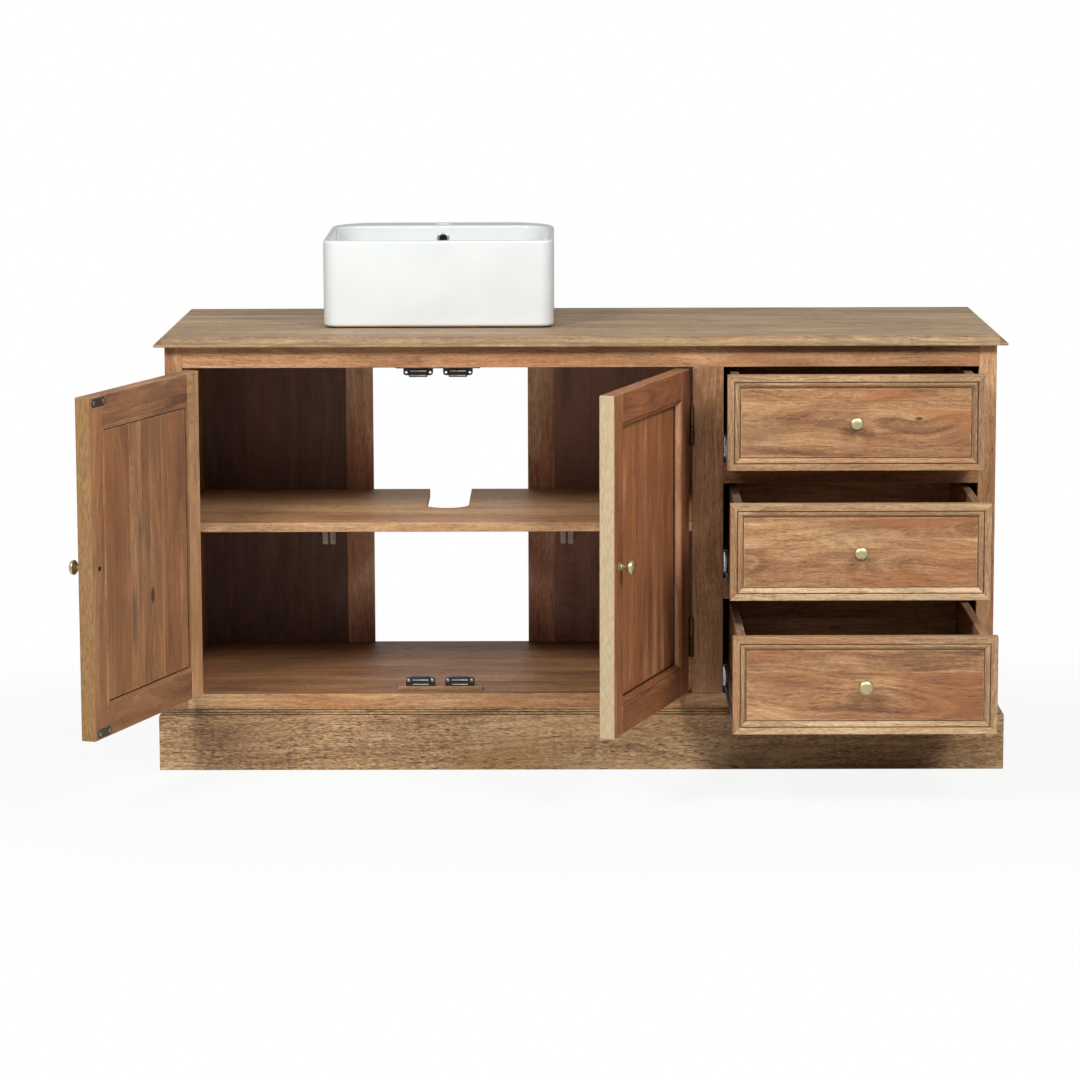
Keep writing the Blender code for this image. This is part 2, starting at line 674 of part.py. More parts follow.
def make_door(name, side, pin_x, angle):
    """Framed door, hung at its outer edge; side is -1 for the left door and 1 for the right one."""
    pivot = add_pivot(name + "_pivot", (pin_x, face_y - pin_offset, 0.0), side * angle)

    def span(start, end):
        """X range between two distances from the pin, on the door's side of it."""
        return sorted((-side * start, -side * end))

    hinge_edge = HINGE_GAP / 2
    free_edge = hinge_edge + door_width
    front, back = pin_offset, pin_offset + FRAME_THICKNESS
    x_low, x_high = span(hinge_edge, free_edge)
    frame = board(name + "_frame", (x_low, front, door_bottom), (x_high, back, door_top), FRONT_WOOD, pivot)
    hole_low, hole_high = x_low + DOOR_STILE_WIDTH, x_high - DOOR_STILE_WIDTH
    hole_bottom, hole_top = door_bottom + DOOR_RAIL_WIDTH, door_top - DOOR_RAIL_WIDTH
    groove = DOOR_GROOVE_DEPTH
    panel_back = back - DOOR_PANEL_RECESS
    panel_front = panel_back - DOOR_PANEL_THICKNESS
    cut_box(
        frame,
        name + "_opening",
        (hole_low, front - CUT_MARGIN, hole_bottom),
        (hole_high, back + CUT_MARGIN, hole_top),
        pivot,
    )
    cut_box(
        frame,
        name + "_groove",
        (hole_low - groove, panel_front - FIT_GAP, hole_bottom - groove),
        (hole_high + groove, panel_back + FIT_GAP, hole_top + groove),
        pivot,
    )
    # Sloped inner edge: as wide as the opening at its own depth, wider in front of that
    splay = splay_mesh(
        name + "_splay",
        (hole_low, front - DOOR_BEAD_DEPTH, hole_bottom),
        (hole_high, front + 3 * DOOR_BEAD_DEPTH, hole_top),
        2 * DOOR_BEAD_WIDTH,
    )
    combine(frame, add_tool(splay.name, splay, pivot), "DIFFERENCE")
    tongue = groove - FIT_GAP
    board(
        name + "_panel",
        (hole_low - tongue, panel_front, hole_bottom - tongue),
        (hole_high + tongue, panel_back, hole_top + tongue),
        FRONT_WOOD,
        pivot,
    )
    knob_x = -side * (free_edge - DOOR_STILE_WIDTH / 2)
    make_knob(name + "_knob", (knob_x, front - FIT_GAP, (door_bottom + door_top) / 2), pivot)
    end = HINGE_LENGTH / 2
    knuckle = HINGE_MIDDLE_KNUCKLE / 2
    middle_barrel = [(FIT_GAP - knuckle, knuckle - FIT_GAP)]
    end_barrels = [(-end, -knuckle), (knuckle, end)]
    fixed = add_pivot(name + "_pin", pivot.location)
    for place, z in (("upper", door_top - HINGE_FROM_END), ("lower", door_bottom + HINGE_FROM_END)):
        make_hinge_leaf(f"{name}_leaf_{place}", -side, z, end_barrels, pivot)
        make_hinge_leaf(f"{name}_frame_leaf_{place}", side, z, middle_barrel, fixed)


def make_doors():
    make_door("door_left", -1, cupboard_left + HINGE_GAP / 2, LEFT_DOOR_ANGLE)
    make_door("door_right", 1, cupboard_right - HINGE_GAP / 2, RIGHT_DOOR_ANGLE)


def drawer_floors():
    """Height of the bottom of each drawer opening, lowest first."""
    return [sill_z + number * (DRAWER_HEIGHT + DRAWER_RAIL_HEIGHT) for number in range(len(drawers))]


def runner_member(name, web_x, side, height, middle_z, parent=None):
    """Channel along Y: a web at web_x, and flanges towards side."""
    metal = RUNNER_METAL
    half = height / 2
    section = [
        (0.0, -half),
        (side * RUNNER_FLANGE, -half),
        (side * RUNNER_FLANGE, metal - half),
        (side * metal, metal - half),
        (side * metal, half - metal),
        (side * RUNNER_FLANGE, half - metal),
        (side * RUNNER_FLANGE, half),
        (0.0, half),
    ]
    middle_y = frame_back + RUNNER_SETBACK + RUNNER_LENGTH / 2
    place = Matrix.Translation((web_x, middle_y, middle_z)) @ ALONG_Y
    add_part(name, outline_mesh(name, section, RUNNER_LENGTH, place), STEEL, parent)


def make_drawer(name, floor_z, pull):
    """Drawer modelled shut, then drawn out by its pivot."""
    pivot = add_pivot(name + "_slide", (0.0, -pull, 0.0))
    low_x, high_x = drawer_left + DRAWER_GAP, drawer_right - DRAWER_GAP
    low_z, high_z = floor_z + DRAWER_GAP, floor_z + DRAWER_HEIGHT - DRAWER_GAP
    front_back = face_y + DRAWER_FRONT_THICKNESS
    front = board(name + "_front", (low_x, face_y, low_z), (high_x, front_back, high_z), FRONT_WOOD, pivot)
    for suffix, inset, depth in (
        ("_border", DRAWER_BORDER, DRAWER_BORDER_STEP),
        ("_field", DRAWER_BORDER + DRAWER_BEAD, drawer_recess),
    ):
        cut_box(
            front,
            name + suffix,
            (low_x + inset, face_y - CUT_MARGIN, low_z + inset),
            (high_x - inset, face_y + depth, high_z - inset),
            pivot,
        )
    middle_x, middle_z = (low_x + high_x) / 2, (low_z + high_z) / 2
    make_knob(name + "_knob", (middle_x, face_y + drawer_recess - FIT_GAP, middle_z), pivot)
    box_left, box_right = drawer_left + RUNNER_SPACE, drawer_right - RUNNER_SPACE
    box_front = front_back + FIT_GAP
    box_low, box_high = floor_z + DRAWER_BOX_LIFT, floor_z + DRAWER_HEIGHT - DRAWER_BOX_DROP
    box = board(
        name + "_box",
        (box_left, box_front, box_low),
        (box_right, box_front + DRAWER_BOX_LENGTH, box_high),
        INNER_WOOD,
        pivot,
    )
    wall = DRAWER_BOX_WALL
    cut_box(
        box,
        name + "_space",
        (box_left + wall, box_front + wall, box_low + DRAWER_BOX_BOTTOM),
        (box_right - wall, box_front + DRAWER_BOX_LENGTH - wall, box_high + CUT_MARGIN),
        pivot,
    )
    runner_z = floor_z + RUNNER_LIFT + RUNNER_HEIGHT / 2
    inner_height = RUNNER_HEIGHT - 2 * RUNNER_METAL - 2 * BALL_GAP
    for side, word in ((1, "left"), (-1, "right")):
        wall_x = (drawer_left if side > 0 else drawer_right) + side * FIT_GAP
        box_x = (box_left if side > 0 else box_right) - side * FIT_GAP
        runner_member(f"{name}_cabinet_runner_{word}", wall_x, side, RUNNER_HEIGHT, runner_z)
        runner_member(f"{name}_runner_{word}", box_x, -side, inner_height, runner_z, pivot)


def make_drawers():
    for (name, pull), floor_z in zip(drawers, drawer_floors()):
        make_drawer(name, floor_z, pull)


def rim_height(y):
    """Height of the basin's rim above its base; the rim climbs towards the wall."""
    return BASIN_HEIGHT + BASIN_RIM_RISE * (y - basin_front) / BASIN_DEPTH


def basin_outline(half, front, back, front_radius, back_radius):
    """Rounded rectangle in plan with tight front corners and wide back corners."""
    front_u, front_v = half - front_radius, front + front_radius
    back_u, back_v = half - back_radius, back - back_radius
    corners = (
        (front_u, front_v, front_radius, -90.0),
        (back_u, back_v, back_radius, 0.0),
        (-back_u, back_v, back_radius, 90.0),
        (-front_u, front_v, front_radius, 180.0),
    )
    outline = []
    for u, v, radius, start in corners:
        middle = (basin_middle + u, v)
        outline += arc(middle, (radius, radius), start, start + 90.0, CORNER_STEPS)
    return outline


def add_bevel(obj, width, segments):
    bevel = obj.modifiers.new("rounded", "BEVEL")
    bevel.width = width
    bevel.segments = segments
    bevel.limit_method = "ANGLE"
    bevel.angle_limit = math.radians(BEVEL_ANGLE)


def make_basin():
    """Vessel basin: bowl in front, tap deck behind with a cavity under it that is open below."""
    half = BASIN_WIDTH / 2
    outline = basin_outline(half, basin_front, basin_back, BASIN_FRONT_CORNER, BASIN_BACK_CORNER)
    middle_z = basin_base + BASIN_HEIGHT / 2
    mesh = outline_mesh("basin", outline, BASIN_HEIGHT, Matrix.Translation((0.0, 0.0, middle_z)))
    for vertex in mesh.vertices:
        if vertex.co.z > middle_z:
            vertex.co.z = basin_base + rim_height(vertex.co.y)
    basin = add_part("basin", mesh, CERAMIC)
    add_bevel(basin, BASIN_EDGE_ROUND, RIM_EDGE_STEPS)
    above_rim = basin_base + BASIN_HEIGHT + BASIN_RIM_RISE + CUT_MARGIN
    below_base = basin_base - CUT_MARGIN
    floor = basin_base + BASIN_FLOOR
    bowl_corners = (BASIN_FRONT_CORNER - BASIN_WALL, BOWL_BACK_CORNER)
    bowl_outline = basin_outline(half - BASIN_WALL, basin_front + BASIN_WALL, bowl_back, *bowl_corners)
    bowl_top = above_rim + BOWL_ROUND
    place = Matrix.Translation((0.0, 0.0, (floor + bowl_top) / 2))
    bowl = add_tool("basin_bowl", outline_mesh("basin_bowl", bowl_outline, bowl_top - floor, place))
    add_bevel(bowl, BOWL_ROUND, BOWL_EDGE_STEPS)
    combine(basin, bowl, "DIFFERENCE")
    rim = basin_base + rim_height(bowl_back)
    cavity_half = half - BASIN_BACK_CORNER
    cut_box(
        basin,
        "basin_rear_cavity",
        (basin_middle - cavity_half, bowl_back + BASIN_WALL, below_base),
        (basin_middle + cavity_half, basin_back - BASIN_WALL, rim - BASIN_WALL),
    )
    cut_hole(basin, "basin_waste_hole", WASTE_RADIUS, below_base, floor + CUT_MARGIN, hole_place(waste_y))
    cut_hole(basin, "basin_tap_hole", TAP_HOLE_RADIUS, below_base, above_rim, hole_place(tap_y))
    overflow_place = Matrix.Translation((basin_middle, bowl_back, rim - OVERFLOW_BELOW_RIM)) @ ALONG_Y
    behind_wall = -BASIN_WALL - CUT_MARGIN
    cut_hole(basin, "basin_overflow", OVERFLOW_RADIUS, behind_wall, CUT_MARGIN, overflow_place)


make_worktop()
make_carcass()
make_face_frame()
make_back()
make_plinth()
make_shelf()
make_shelf_brackets()
make_catches()
make_doors()
make_drawers()
make_basin()
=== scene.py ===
import json
import math

import bmesh
import bpy
from mathutils import Matrix, Vector


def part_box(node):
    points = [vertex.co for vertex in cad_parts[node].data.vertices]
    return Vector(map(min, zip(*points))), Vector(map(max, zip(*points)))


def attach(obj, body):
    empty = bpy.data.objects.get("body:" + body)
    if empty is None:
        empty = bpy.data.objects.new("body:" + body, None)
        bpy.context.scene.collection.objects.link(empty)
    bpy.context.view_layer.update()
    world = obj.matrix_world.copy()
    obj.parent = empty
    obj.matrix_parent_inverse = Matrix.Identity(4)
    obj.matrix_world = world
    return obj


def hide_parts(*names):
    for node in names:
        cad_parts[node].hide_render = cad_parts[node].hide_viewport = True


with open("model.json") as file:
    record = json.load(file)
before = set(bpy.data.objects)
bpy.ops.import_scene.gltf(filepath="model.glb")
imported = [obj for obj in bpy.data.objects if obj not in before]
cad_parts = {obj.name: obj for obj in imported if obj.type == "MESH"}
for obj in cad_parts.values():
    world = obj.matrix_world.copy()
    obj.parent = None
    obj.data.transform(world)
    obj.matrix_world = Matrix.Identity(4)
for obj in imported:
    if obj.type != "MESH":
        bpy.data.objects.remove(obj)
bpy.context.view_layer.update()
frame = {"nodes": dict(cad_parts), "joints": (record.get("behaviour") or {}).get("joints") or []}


class Flow:  # a socket of the material in hand, with maths on it
    tree = None

    def __init__(self, socket):
        self.socket = socket

    @classmethod
    def node(cls, kind, settings, inputs, output=0):
        made = cls.tree.nodes.new("ShaderNode" + kind)
        for name, value in settings.items():
            if name == "stops":
                ramp = made.color_ramp
                while len(ramp.elements) < len(value):
                    ramp.elements.new(1.0)
                for stop, (position, colour) in zip(ramp.elements, value):
                    stop.position = position
                    stop.color = colour
            else:
                setattr(made, name, value)
        for name, value in inputs.items():
            if isinstance(value, Flow):
                cls.tree.links.new(value.socket, made.inputs[name])
            else:
                made.inputs[name].default_value = value
        if isinstance(output, tuple):
            return [cls(made.outputs[one]) for one in output]
        return cls(made.outputs[output]) if made.outputs else None

    def maths(self, operation, other=0.0, swapped=False):
        first, second = (other, self) if swapped else (self, other)
        return Flow.node("Math", {"operation": operation}, {0: first, 1: second})

    def __add__(self, other):
        return self.maths("ADD", other)

    def __radd__(self, other):
        return self.maths("ADD", other, True)

    def __sub__(self, other):
        return self.maths("SUBTRACT", other)

    def __rsub__(self, other):
        return self.maths("SUBTRACT", other, True)

    def __mul__(self, other):
        return self.maths("MULTIPLY", other)

    def __rmul__(self, other):
        return self.maths("MULTIPLY", other, True)

    def __truediv__(self, other):
        return self.maths("DIVIDE", other)

    def __rtruediv__(self, other):
        return self.maths("DIVIDE", other, True)


def colour(text):  # screen colour such as b07a4e, as linear values
    steps = [int(text[i:i + 2], 16) / 255 for i in (0, 2, 4)]
    return (*[s / 12.92 if s <= 0.04045 else ((s + 0.055) / 1.055) ** 2.4 for s in steps], 1.0)


def attribute(name):
    return Flow.node("Attribute", {"attribute_name": name}, {}, "Vector")


def split(vector):
    return Flow.node("SeparateXYZ", {}, {0: vector}, (0, 1, 2))


def joinUp(x, y, z):
    return Flow.node("CombineXYZ", {}, {0: x, 1: y, 2: z})


def vectorMaths(operation, first, second):
    return Flow.node("VectorMath", {"operation": operation}, {0: first, 1: second})


def noise(vector, stretch, detail=2.0, roughness=0.5):
    placed = vectorMaths("MULTIPLY", vector, stretch)
    inputs = {"Vector": placed, "Scale": 1.0, "Detail": detail, "Roughness": roughness}
    return Flow.node("TexNoise", {}, inputs)


def ease(value, low, high):  # 0 below low, 1 above high
    inputs = {"Value": value, "From Min": low, "From Max": high}
    return Flow.node("MapRange", {"interpolation_type": "SMOOTHSTEP"}, inputs)


def mixColour(share, first, second, how="MIX"):
    settings = {"data_type": "RGBA", "blend_type": how, "clamp_factor": True}
    return Flow.node("Mix", settings, {0: share, 6: first, 7: second}, 2)


def bumped(height, strength, distance):
    inputs = {"Strength": strength, "Distance": distance, "Height": height}
    return Flow.node("Bump", {}, inputs)


def newLook(name):
    material = bpy.data.materials.new(name)
    material.use_nodes = True
    material.node_tree.nodes.clear()
    Flow.tree = material.node_tree
    return material


def closeLook(values):
    surface = Flow.node("BsdfPrincipled", {}, values)
    Flow.node("OutputMaterial", {}, {"Surface": surface})


toneStops = (0.10, 0.36, 0.60, 0.90)  # where a wood's four tones lie


def woodLook(name, wood):
    look = newLook(name)
    place, half = attribute("grain"), attribute("half")
    seed, tint, paleSide = split(attribute("board"))
    knotAlong, knotAcross, knotSize = split(attribute("knot"))
    soil, _, _ = split(attribute("soil"))
    along, across, deep = split(place)
    # glued-up staves of uneven width, each from its own place in the tree
    stave = {"Scale": 1.0 / wood["stave"], "W": across + seed * 3.1, "Randomness": 0.75}
    chance = Flow.node("TexVoronoi", {"voronoi_dimensions": "1D"}, stave, "Color")
    chance, otherChance, _ = split(chance)
    cells = {"voronoi_dimensions": "1D", "feature": "DISTANCE_TO_EDGE"}
    toSeam = Flow.node("TexVoronoi", cells, stave, "Distance")
    seam = 1.0 - ease(toSeam, 0.0, 0.0011 / wood["stave"])
    shift = joinUp(seed * 3.7 + chance * 2.3, seed * 1.9 + otherChance * 0.6, seed * 0.8)
    own = vectorMaths("ADD", place, shift)
    ownAlong, ownAcross, ownDeep = split(own)
    # a knot: how near it is, and how it pushes the grain aside
    aside, along2 = across - knotAcross, (along - knotAlong) * 0.55
    knotFar = (aside * aside + along2 * along2).maths("SQRT") / (knotSize + 0.00001)
    knotCore = (1.0 - ease(knotFar, 0.5, 1.25)) * ease(knotSize, 0.0, 0.001)
    knotPush = (1.0 - ease(knotFar, 0.4, 6.0)) * knotSize * 1.4
    # growth rings about a heart that wanders along the board
    wander = noise(joinUp(ownAlong, seed * 5.3, chance * 4.1), (wood["turn"], 1.0, 1.0), 1.0) - 0.5
    sink = noise(joinUp(ownAlong, seed * 8.9, chance * 6.7), (wood["turn"] * 1.2, 1.0, 1.0), 1.0) - 0.5
    ruffle = noise(own, (9.0, 34.0, 34.0), 3.0, 0.6) - 0.5
    drift = (noise(own, (wood["turn"] * 1.6, 5.0, 5.0), 1.0) - 0.5) * wood["drift"]
    wide = across + wander * wood["wander"] + drift + (otherChance - 0.5) * 0.09
    below = deep + sink * wood["sink"] + 0.035
    radius = (wide * wide + below * below).maths("SQRT") + ruffle * wood["ruffle"] + knotPush * 0.8
    rings = noise(joinUp(ownAlong * 0.7, radius, seed * 1.7), (1.0, wood["rings"], 1.0), 4.0, 0.62)
    flame = noise(joinUp(ownAlong * 1.3, radius, seed * 2.9), (1.0, wood["rings"] * 0.26, 1.0), 2.0)
    bent = joinUp(ownAlong, ownAcross + ruffle * 0.006 + knotPush + drift, ownDeep)
    broad = noise(bent, wood["patches"], 3.0, 0.55)
    fibre = noise(bent, (11.0, 270.0, 270.0), 3.0, 0.62)
    tone = 0.5 + (broad - 0.5) * wood["broad"] + (rings - 0.5) * wood["ring"]
    tone = tone + (flame - 0.5) * wood["flame"] + (fibre - 0.5) * wood["fibre"]
    tone = tone + (tint - 0.5) * 0.6 + (chance - 0.5) * wood["boards"]
    grit = noise(bent, (115.0, 420.0, 420.0), 2.0)
    tone = tone + (grit - 0.5) * wood["grit"]
    stops = [(spot, colour(shade)) for spot, shade in zip(toneStops, wood["tones"])]
    paint = Flow.node("ValToRGB", {"stops": stops}, {0: tone})

    def over(share, key):
        return mixColour(share, paint, colour(wood[key]))

    patch = ease(noise(bent, (4.5, 16.0, 16.0), 4.0, 0.6), 0.52, 0.72)
    paint = over(patch * wood["patch"], "patchColour")
    blush = ease(noise(own, (2.7, 8.0, 8.0), 2.0), 0.46, 0.68)
    paint = over(blush * wood["blush"], "blushColour")
    # ripple across the grain, in places
    ripple = ease(noise(own, (95.0, 26.0, 26.0), 2.0), 0.44, 0.68)
    ripple = ripple * ease(noise(own, (4.0, 10.0, 10.0), 1.0), 0.52, 0.66)
    paint = mixColour(ripple * wood["ripple"], paint, colour(wood["tones"][1]))
    # open pores: short dark dashes along the grain
    pore = ease(noise(bent, wood["poreScale"], 2.0), 0.55, 0.66)
    pore = pore * ease(noise(own, (7.0, 40.0, 40.0), 2.0), 0.28, 0.58)
    paint = over(pore * wood["pore"], "poreColour")
    paint = over(seam * 0.25, "poreColour")
    paint = over(knotCore * 0.8, "knotColour")
    # how far the nearest end and the nearest edge of the board are
    gapX, gapY, gapZ = split(vectorMaths("SUBTRACT", half, vectorMaths("ABSOLUTE", place, (0, 0, 0))))
    endGrain = 1.0 - ease(gapX, 0.0001, 0.0007)
    speckle = ease(noise(own, (420.0, 520.0, 520.0), 1.0), 0.45, 0.65)
    paint = over(endGrain * (0.45 + speckle * 0.35), "endColour")
    nearer, farther = gapX.maths("MINIMUM", gapY), gapX.maths("MAXIMUM", gapY)
    toEdge = nearer.maths("MAXIMUM", farther.maths("MINIMUM", gapZ))
    rub = ease(noise(own, (22.0, 60.0, 60.0), 3.0, 0.6), 0.36, 0.62)
    wear = (1.0 - ease(toEdge, 0.0003, wood["wear"])) * rub
    paint = over(wear * wood["wearShare"], "wearColour")
    # a paler band along one edge of a board: the sign says which edge
    paleEdge = ease(paleSide * across, 0.0, 1.0) * (1.0 - ease(gapY, 0.0004, 0.0022))
    dust = ease(noise(own, (70.0, 620.0, 620.0), 2.0), 0.35, 0.65)
    paleEdgePaint = mixColour(dust * wood["paleEdgeGrain"], colour(wood["paleEdgeColour"]), colour(wood["paleEdgeDark"]))
    paint = mixColour(paleEdge, paint, paleEdgePaint)
    # grooves and inner corners darkened: grime, and painted shade in the hollows
    paint = over(soil * 0.85, "grimeAndShadeColour")
    rough = wood["rough"] + pore * 0.16 + (rings - 0.5) * 0.14 - wear * 0.06
    height = fibre * 0.35 + rings * 0.25 - pore * 0.9 - seam * 0.8
    values = {"Base Color": paint, "Roughness": rough, "Normal": bumped(height, wood["bump"], 0.0007)}
    closeLook({**values, "Specular IOR Level": wood["shine"]})
    return look


plainWood = {
    "tones": ("5f4130", "8a6145", "a97e5a", "c7a37c"), "stave": 0.110, "boards": 0.16,
    "wander": 0.16, "turn": 1.6, "sink": 0.13, "ruffle": 0.010, "rings": 190.0, "drift": 0.05,
    "patches": (3.2, 13.0, 13.0), "broad": 0.85, "ring": 0.70, "flame": 0.45, "fibre": 0.55, "grit": 0.40,
    "patch": 0.40, "patchColour": "775a44", "blush": 0.40, "blushColour": "a3683f", "ripple": 0.40,
    "pore": 0.40, "poreColour": "4b3120", "poreScale": (46.0, 430.0, 430.0),
    "knotColour": "3a2518", "grimeAndShadeColour": "2b1a10", "endColour": "7a5a40",
    "wear": 0.0030, "wearShare": 0.45, "wearColour": "cbaa82",
    "paleEdgeColour": "c2ae8c", "paleEdgeDark": "9c8765", "paleEdgeGrain": 0.5, "rough": 0.46, "bump": 0.50, "shine": 0.25,
}
worktopWood = woodLook("worktopWood", {
    **plainWood, "tones": ("68563f", "8c7458", "ab8f6b", "cab18a"), "stave": 0.085,
    "blush": 0.15, "patchColour": "655343", "shine": 0.20,
})
frameWood = woodLook("frameWood", {
    **plainWood, "tones": ("6b4b35", "956a48", "b5875f", "d5b082"), "stave": 0.5, "grit": 0.55,
})
frontWood = woodLook("frontWood", {
    **plainWood, "tones": ("604230", "8c6345", "ad8159", "caa67d"), "turn": 2.5, "wander": 0.14,
    "ruffle": 0.006, "patches": (4.5, 15.0, 15.0), "broad": 1.1, "flame": 0.8, "fibre": 0.6, "grit": 0.55,
    "patch": 0.55, "blush": 0.55,
})
trimWood = woodLook("trimWood", {
    **plainWood, "tones": ("6c503c", "977456", "b6946c", "d6ba94"), "stave": 0.5, "grit": 0.7,
})
plinthWood = woodLook("plinthWood", {
    **plainWood, "tones": ("5e4733", "88684c", "a78560", "cdac82"), "stave": 0.5, "drift": 0.03,
    "ring": 0.8, "fibre": 0.75, "grit": 1.25, "patch": 0.5, "patchColour": "6f5a48",
    "blushColour": "a98048", "pore": 0.75, "poreScale": (60.0, 400.0, 400.0),
})
innerWood = woodLook("innerWood", {
    **plainWood, "tones": ("4d3d3c", "69514a", "83685e", "a98879"), "broad": 0.5, "ring": 0.28,
    "flame": 0.25, "fibre": 0.20, "grit": 0.15, "blush": 0.1, "patchColour": "33221b", "pore": 0.12,
    "poreColour": "261812", "endColour": "38231a", "wearShare": 0.25, "wearColour": "7d573d",
})
# painted light: a very pale copy of the wood for the back stiles, lifting them out of the shade
backWood = woodLook("backWood", {
    **plainWood, "tones": ("886a58", "bc937a", "deb395", "ffe4c1"), "stave": 0.5,
})
shelfWood = woodLook("shelfWood", {
    **plainWood, "tones": ("684833", "8f6848", "af845e", "d1a97d"), "stave": 0.13, "grit": 0.6,
})
boxWood = woodLook("boxWood", {
    **plainWood, "tones": ("675143", "907259", "b59371", "dcc199"), "stave": 0.12,
})
leftDoorWood = woodLook("leftDoorWood", {
    **plainWood, "tones": ("684834", "916647", "ae7c56", "d0a275"), "stave": 0.075, "broad": 1.1,
    "grit": 0.25, "patch": 0.7, "patchColour": "6f5e49", "pore": 0.25,
    "paleEdgeColour": "a07a4f", "paleEdgeDark": "6a4c2e", "paleEdgeGrain": 0.6,
})
rightDoorWood = woodLook("rightDoorWood", {
    **plainWood, "tones": ("673e2a", "8e5a3d", "a96f4c", "cf9770"), "stave": 0.075, "broad": 1.1,
    "grit": 0.3, "patch": 0.5, "patchColour": "66442f", "pore": 0.25,
    "blush": 0.55, "blushColour": "a86a36",
})


def metalLook(name, metal):
    look = newLook(name)
    spot = Flow.node("TexCoord", {}, {}, "Object")
    cloud = noise(spot, (190.0, 190.0, 190.0), 3.0, 0.6)
    fine = noise(spot, metal["brush"], 2.0)
    place, _, _ = split(attribute("grain"))
    tarnish = ease(cloud + (1.0 - ease(place, 0.0, metal["reach"])) * 0.25, 0.50, 0.80)
    paint = mixColour(tarnish * metal["tarnish"], colour(metal["clean"]), colour(metal["dull"]))
    rough = metal["rough"] + tarnish * 0.18 + (fine - 0.5) * 0.16
    values = {"Base Color": paint, "Metallic": 1.0, "Roughness": rough}
    closeLook({**values, "Normal": bumped(fine, 0.12, 0.0002)})
    return look


plainMetal = {"tarnish": 0.6, "reach": 0.001, "rough": 0.36, "brush": (500.0, 500.0, 500.0)}
agedBrass = metalLook("agedBrass", {
    **plainMetal, "clean": "c3b98f", "dull": "8a7b50", "tarnish": 0.75, "reach": 0.016, "rough": 0.40,
    "brush": (900.0, 900.0, 900.0),
})
# painted shade: brass darkened for the hinges, for the shade they sit in
shadedBrass = metalLook("shadedBrass", {
    **plainMetal, "clean": "6b5a3c", "dull": "3c3020", "tarnish": 0.8, "rough": 0.42,
    "brush": (700.0, 700.0, 250.0),
})
zincSteel = metalLook("zincSteel", {
    **plainMetal, "clean": "c9cac8", "dull": "8e8f8c", "rough": 0.32, "brush": (900.0, 30.0, 900.0),
})
darkSteel = metalLook("darkSteel", {**plainMetal, "clean": "857f77", "dull": "524c45", "tarnish": 0.7})
blackSteel = metalLook("blackSteel", {**plainMetal, "clean": "35312d", "dull": "1d1916", "rough": 0.45})
chrome = metalLook("chrome", {
    **plainMetal, "clean": "dfe1e1", "dull": "b9bcbc", "tarnish": 0.3, "rough": 0.08,
    "brush": (300.0, 300.0, 300.0),
})


def plasticLook(name, plastic):
    look = newLook(name)
    spot = Flow.node("TexCoord", {}, {}, "Object")
    cloud = noise(spot, (60.0, 60.0, 60.0), 3.0)
    grainy = noise(spot, (2200.0, 2200.0, 2200.0), 1.0)
    paint = mixColour(ease(cloud, 0.35, 0.70), colour(plastic["main"]), colour(plastic["other"]))
    values = {"Base Color": paint, "Roughness": plastic["rough"] + (cloud - 0.5) * 0.2}
    closeLook({**values, "Normal": bumped(grainy, 0.15, 0.0002)})
    return look


blackPlastic = plasticLook("blackPlastic", {"main": "131314", "other": "1d1d1e", "rough": 0.42})
palePlastic = plasticLook("palePlastic", {"main": "f1efea", "other": "dfdcd4", "rough": 0.50})


def glazeLook(name, glaze):
    look = newLook(name)
    spot = Flow.node("TexCoord", {}, {}, "Object")
    pool = noise(spot, (9.0, 9.0, 9.0), 2.0)  # glaze lies thicker in places
    peel = noise(spot, (130.0, 130.0, 130.0), 1.0)
    speck = ease(noise(spot, (700.0, 700.0, 700.0), 1.0), 0.76, 0.82)
    paint = mixColour(ease(pool, 0.3, 0.7), colour(glaze["thin"]), colour(glaze["thick"]))
    paint = mixColour(speck * 0.12, paint, colour(glaze["speck"]))
    _, _, upwards = split(Flow.node("NewGeometry", {}, {}, "Normal"))
    topShade = ease(upwards, 0.75, 0.98) * (0.6 + pool * 0.6)  # upward faces painted darker and greener: painted shade on the tops
    paint = mixColour(topShade * glaze["topShade"], paint, colour(glaze["topShadeColour"]))
    values = {"Base Color": paint, "Roughness": glaze["rough"] + (pool - 0.5) * 0.05}
    values.update({"Coat Weight": 0.6, "Coat Roughness": 0.04})
    closeLook({**values, "Normal": bumped(peel, 0.05, 0.0006)})
    return look


whiteGlaze = glazeLook("whiteGlaze", {
    "thin": "e2e5e3", "thick": "dbdfdd", "speck": "b9b6ac", "rough": 0.12,
    "topShade": 0.55, "topShadeColour": "c8cdb4",
})
print("looks:", len(bpy.data.materials), "materials")

layerNames = ("grain", "half", "board", "knot", "soil")
noKnot = (0.0, 0.0, 0.0)


def newMesh():
    mesh = bmesh.new()
    for name in layerNames:
        mesh.verts.layers.float_vector.new(name)
    return mesh


# tells the new vertices where they lie in their board
def stamp(mesh, old, centre, half, order, board, knot=noKnot):
    layers = [mesh.verts.layers.float_vector[name] for name in layerNames]
    for vert in mesh.verts:
        if vert not in old:
            offset = vert.co - Vector(centre)
            vert[layers[0]] = [offset[i] for i in order]
            vert[layers[1]] = [half[i] for i in order]
            vert[layers[2]] = board
            vert[layers[3]] = knot


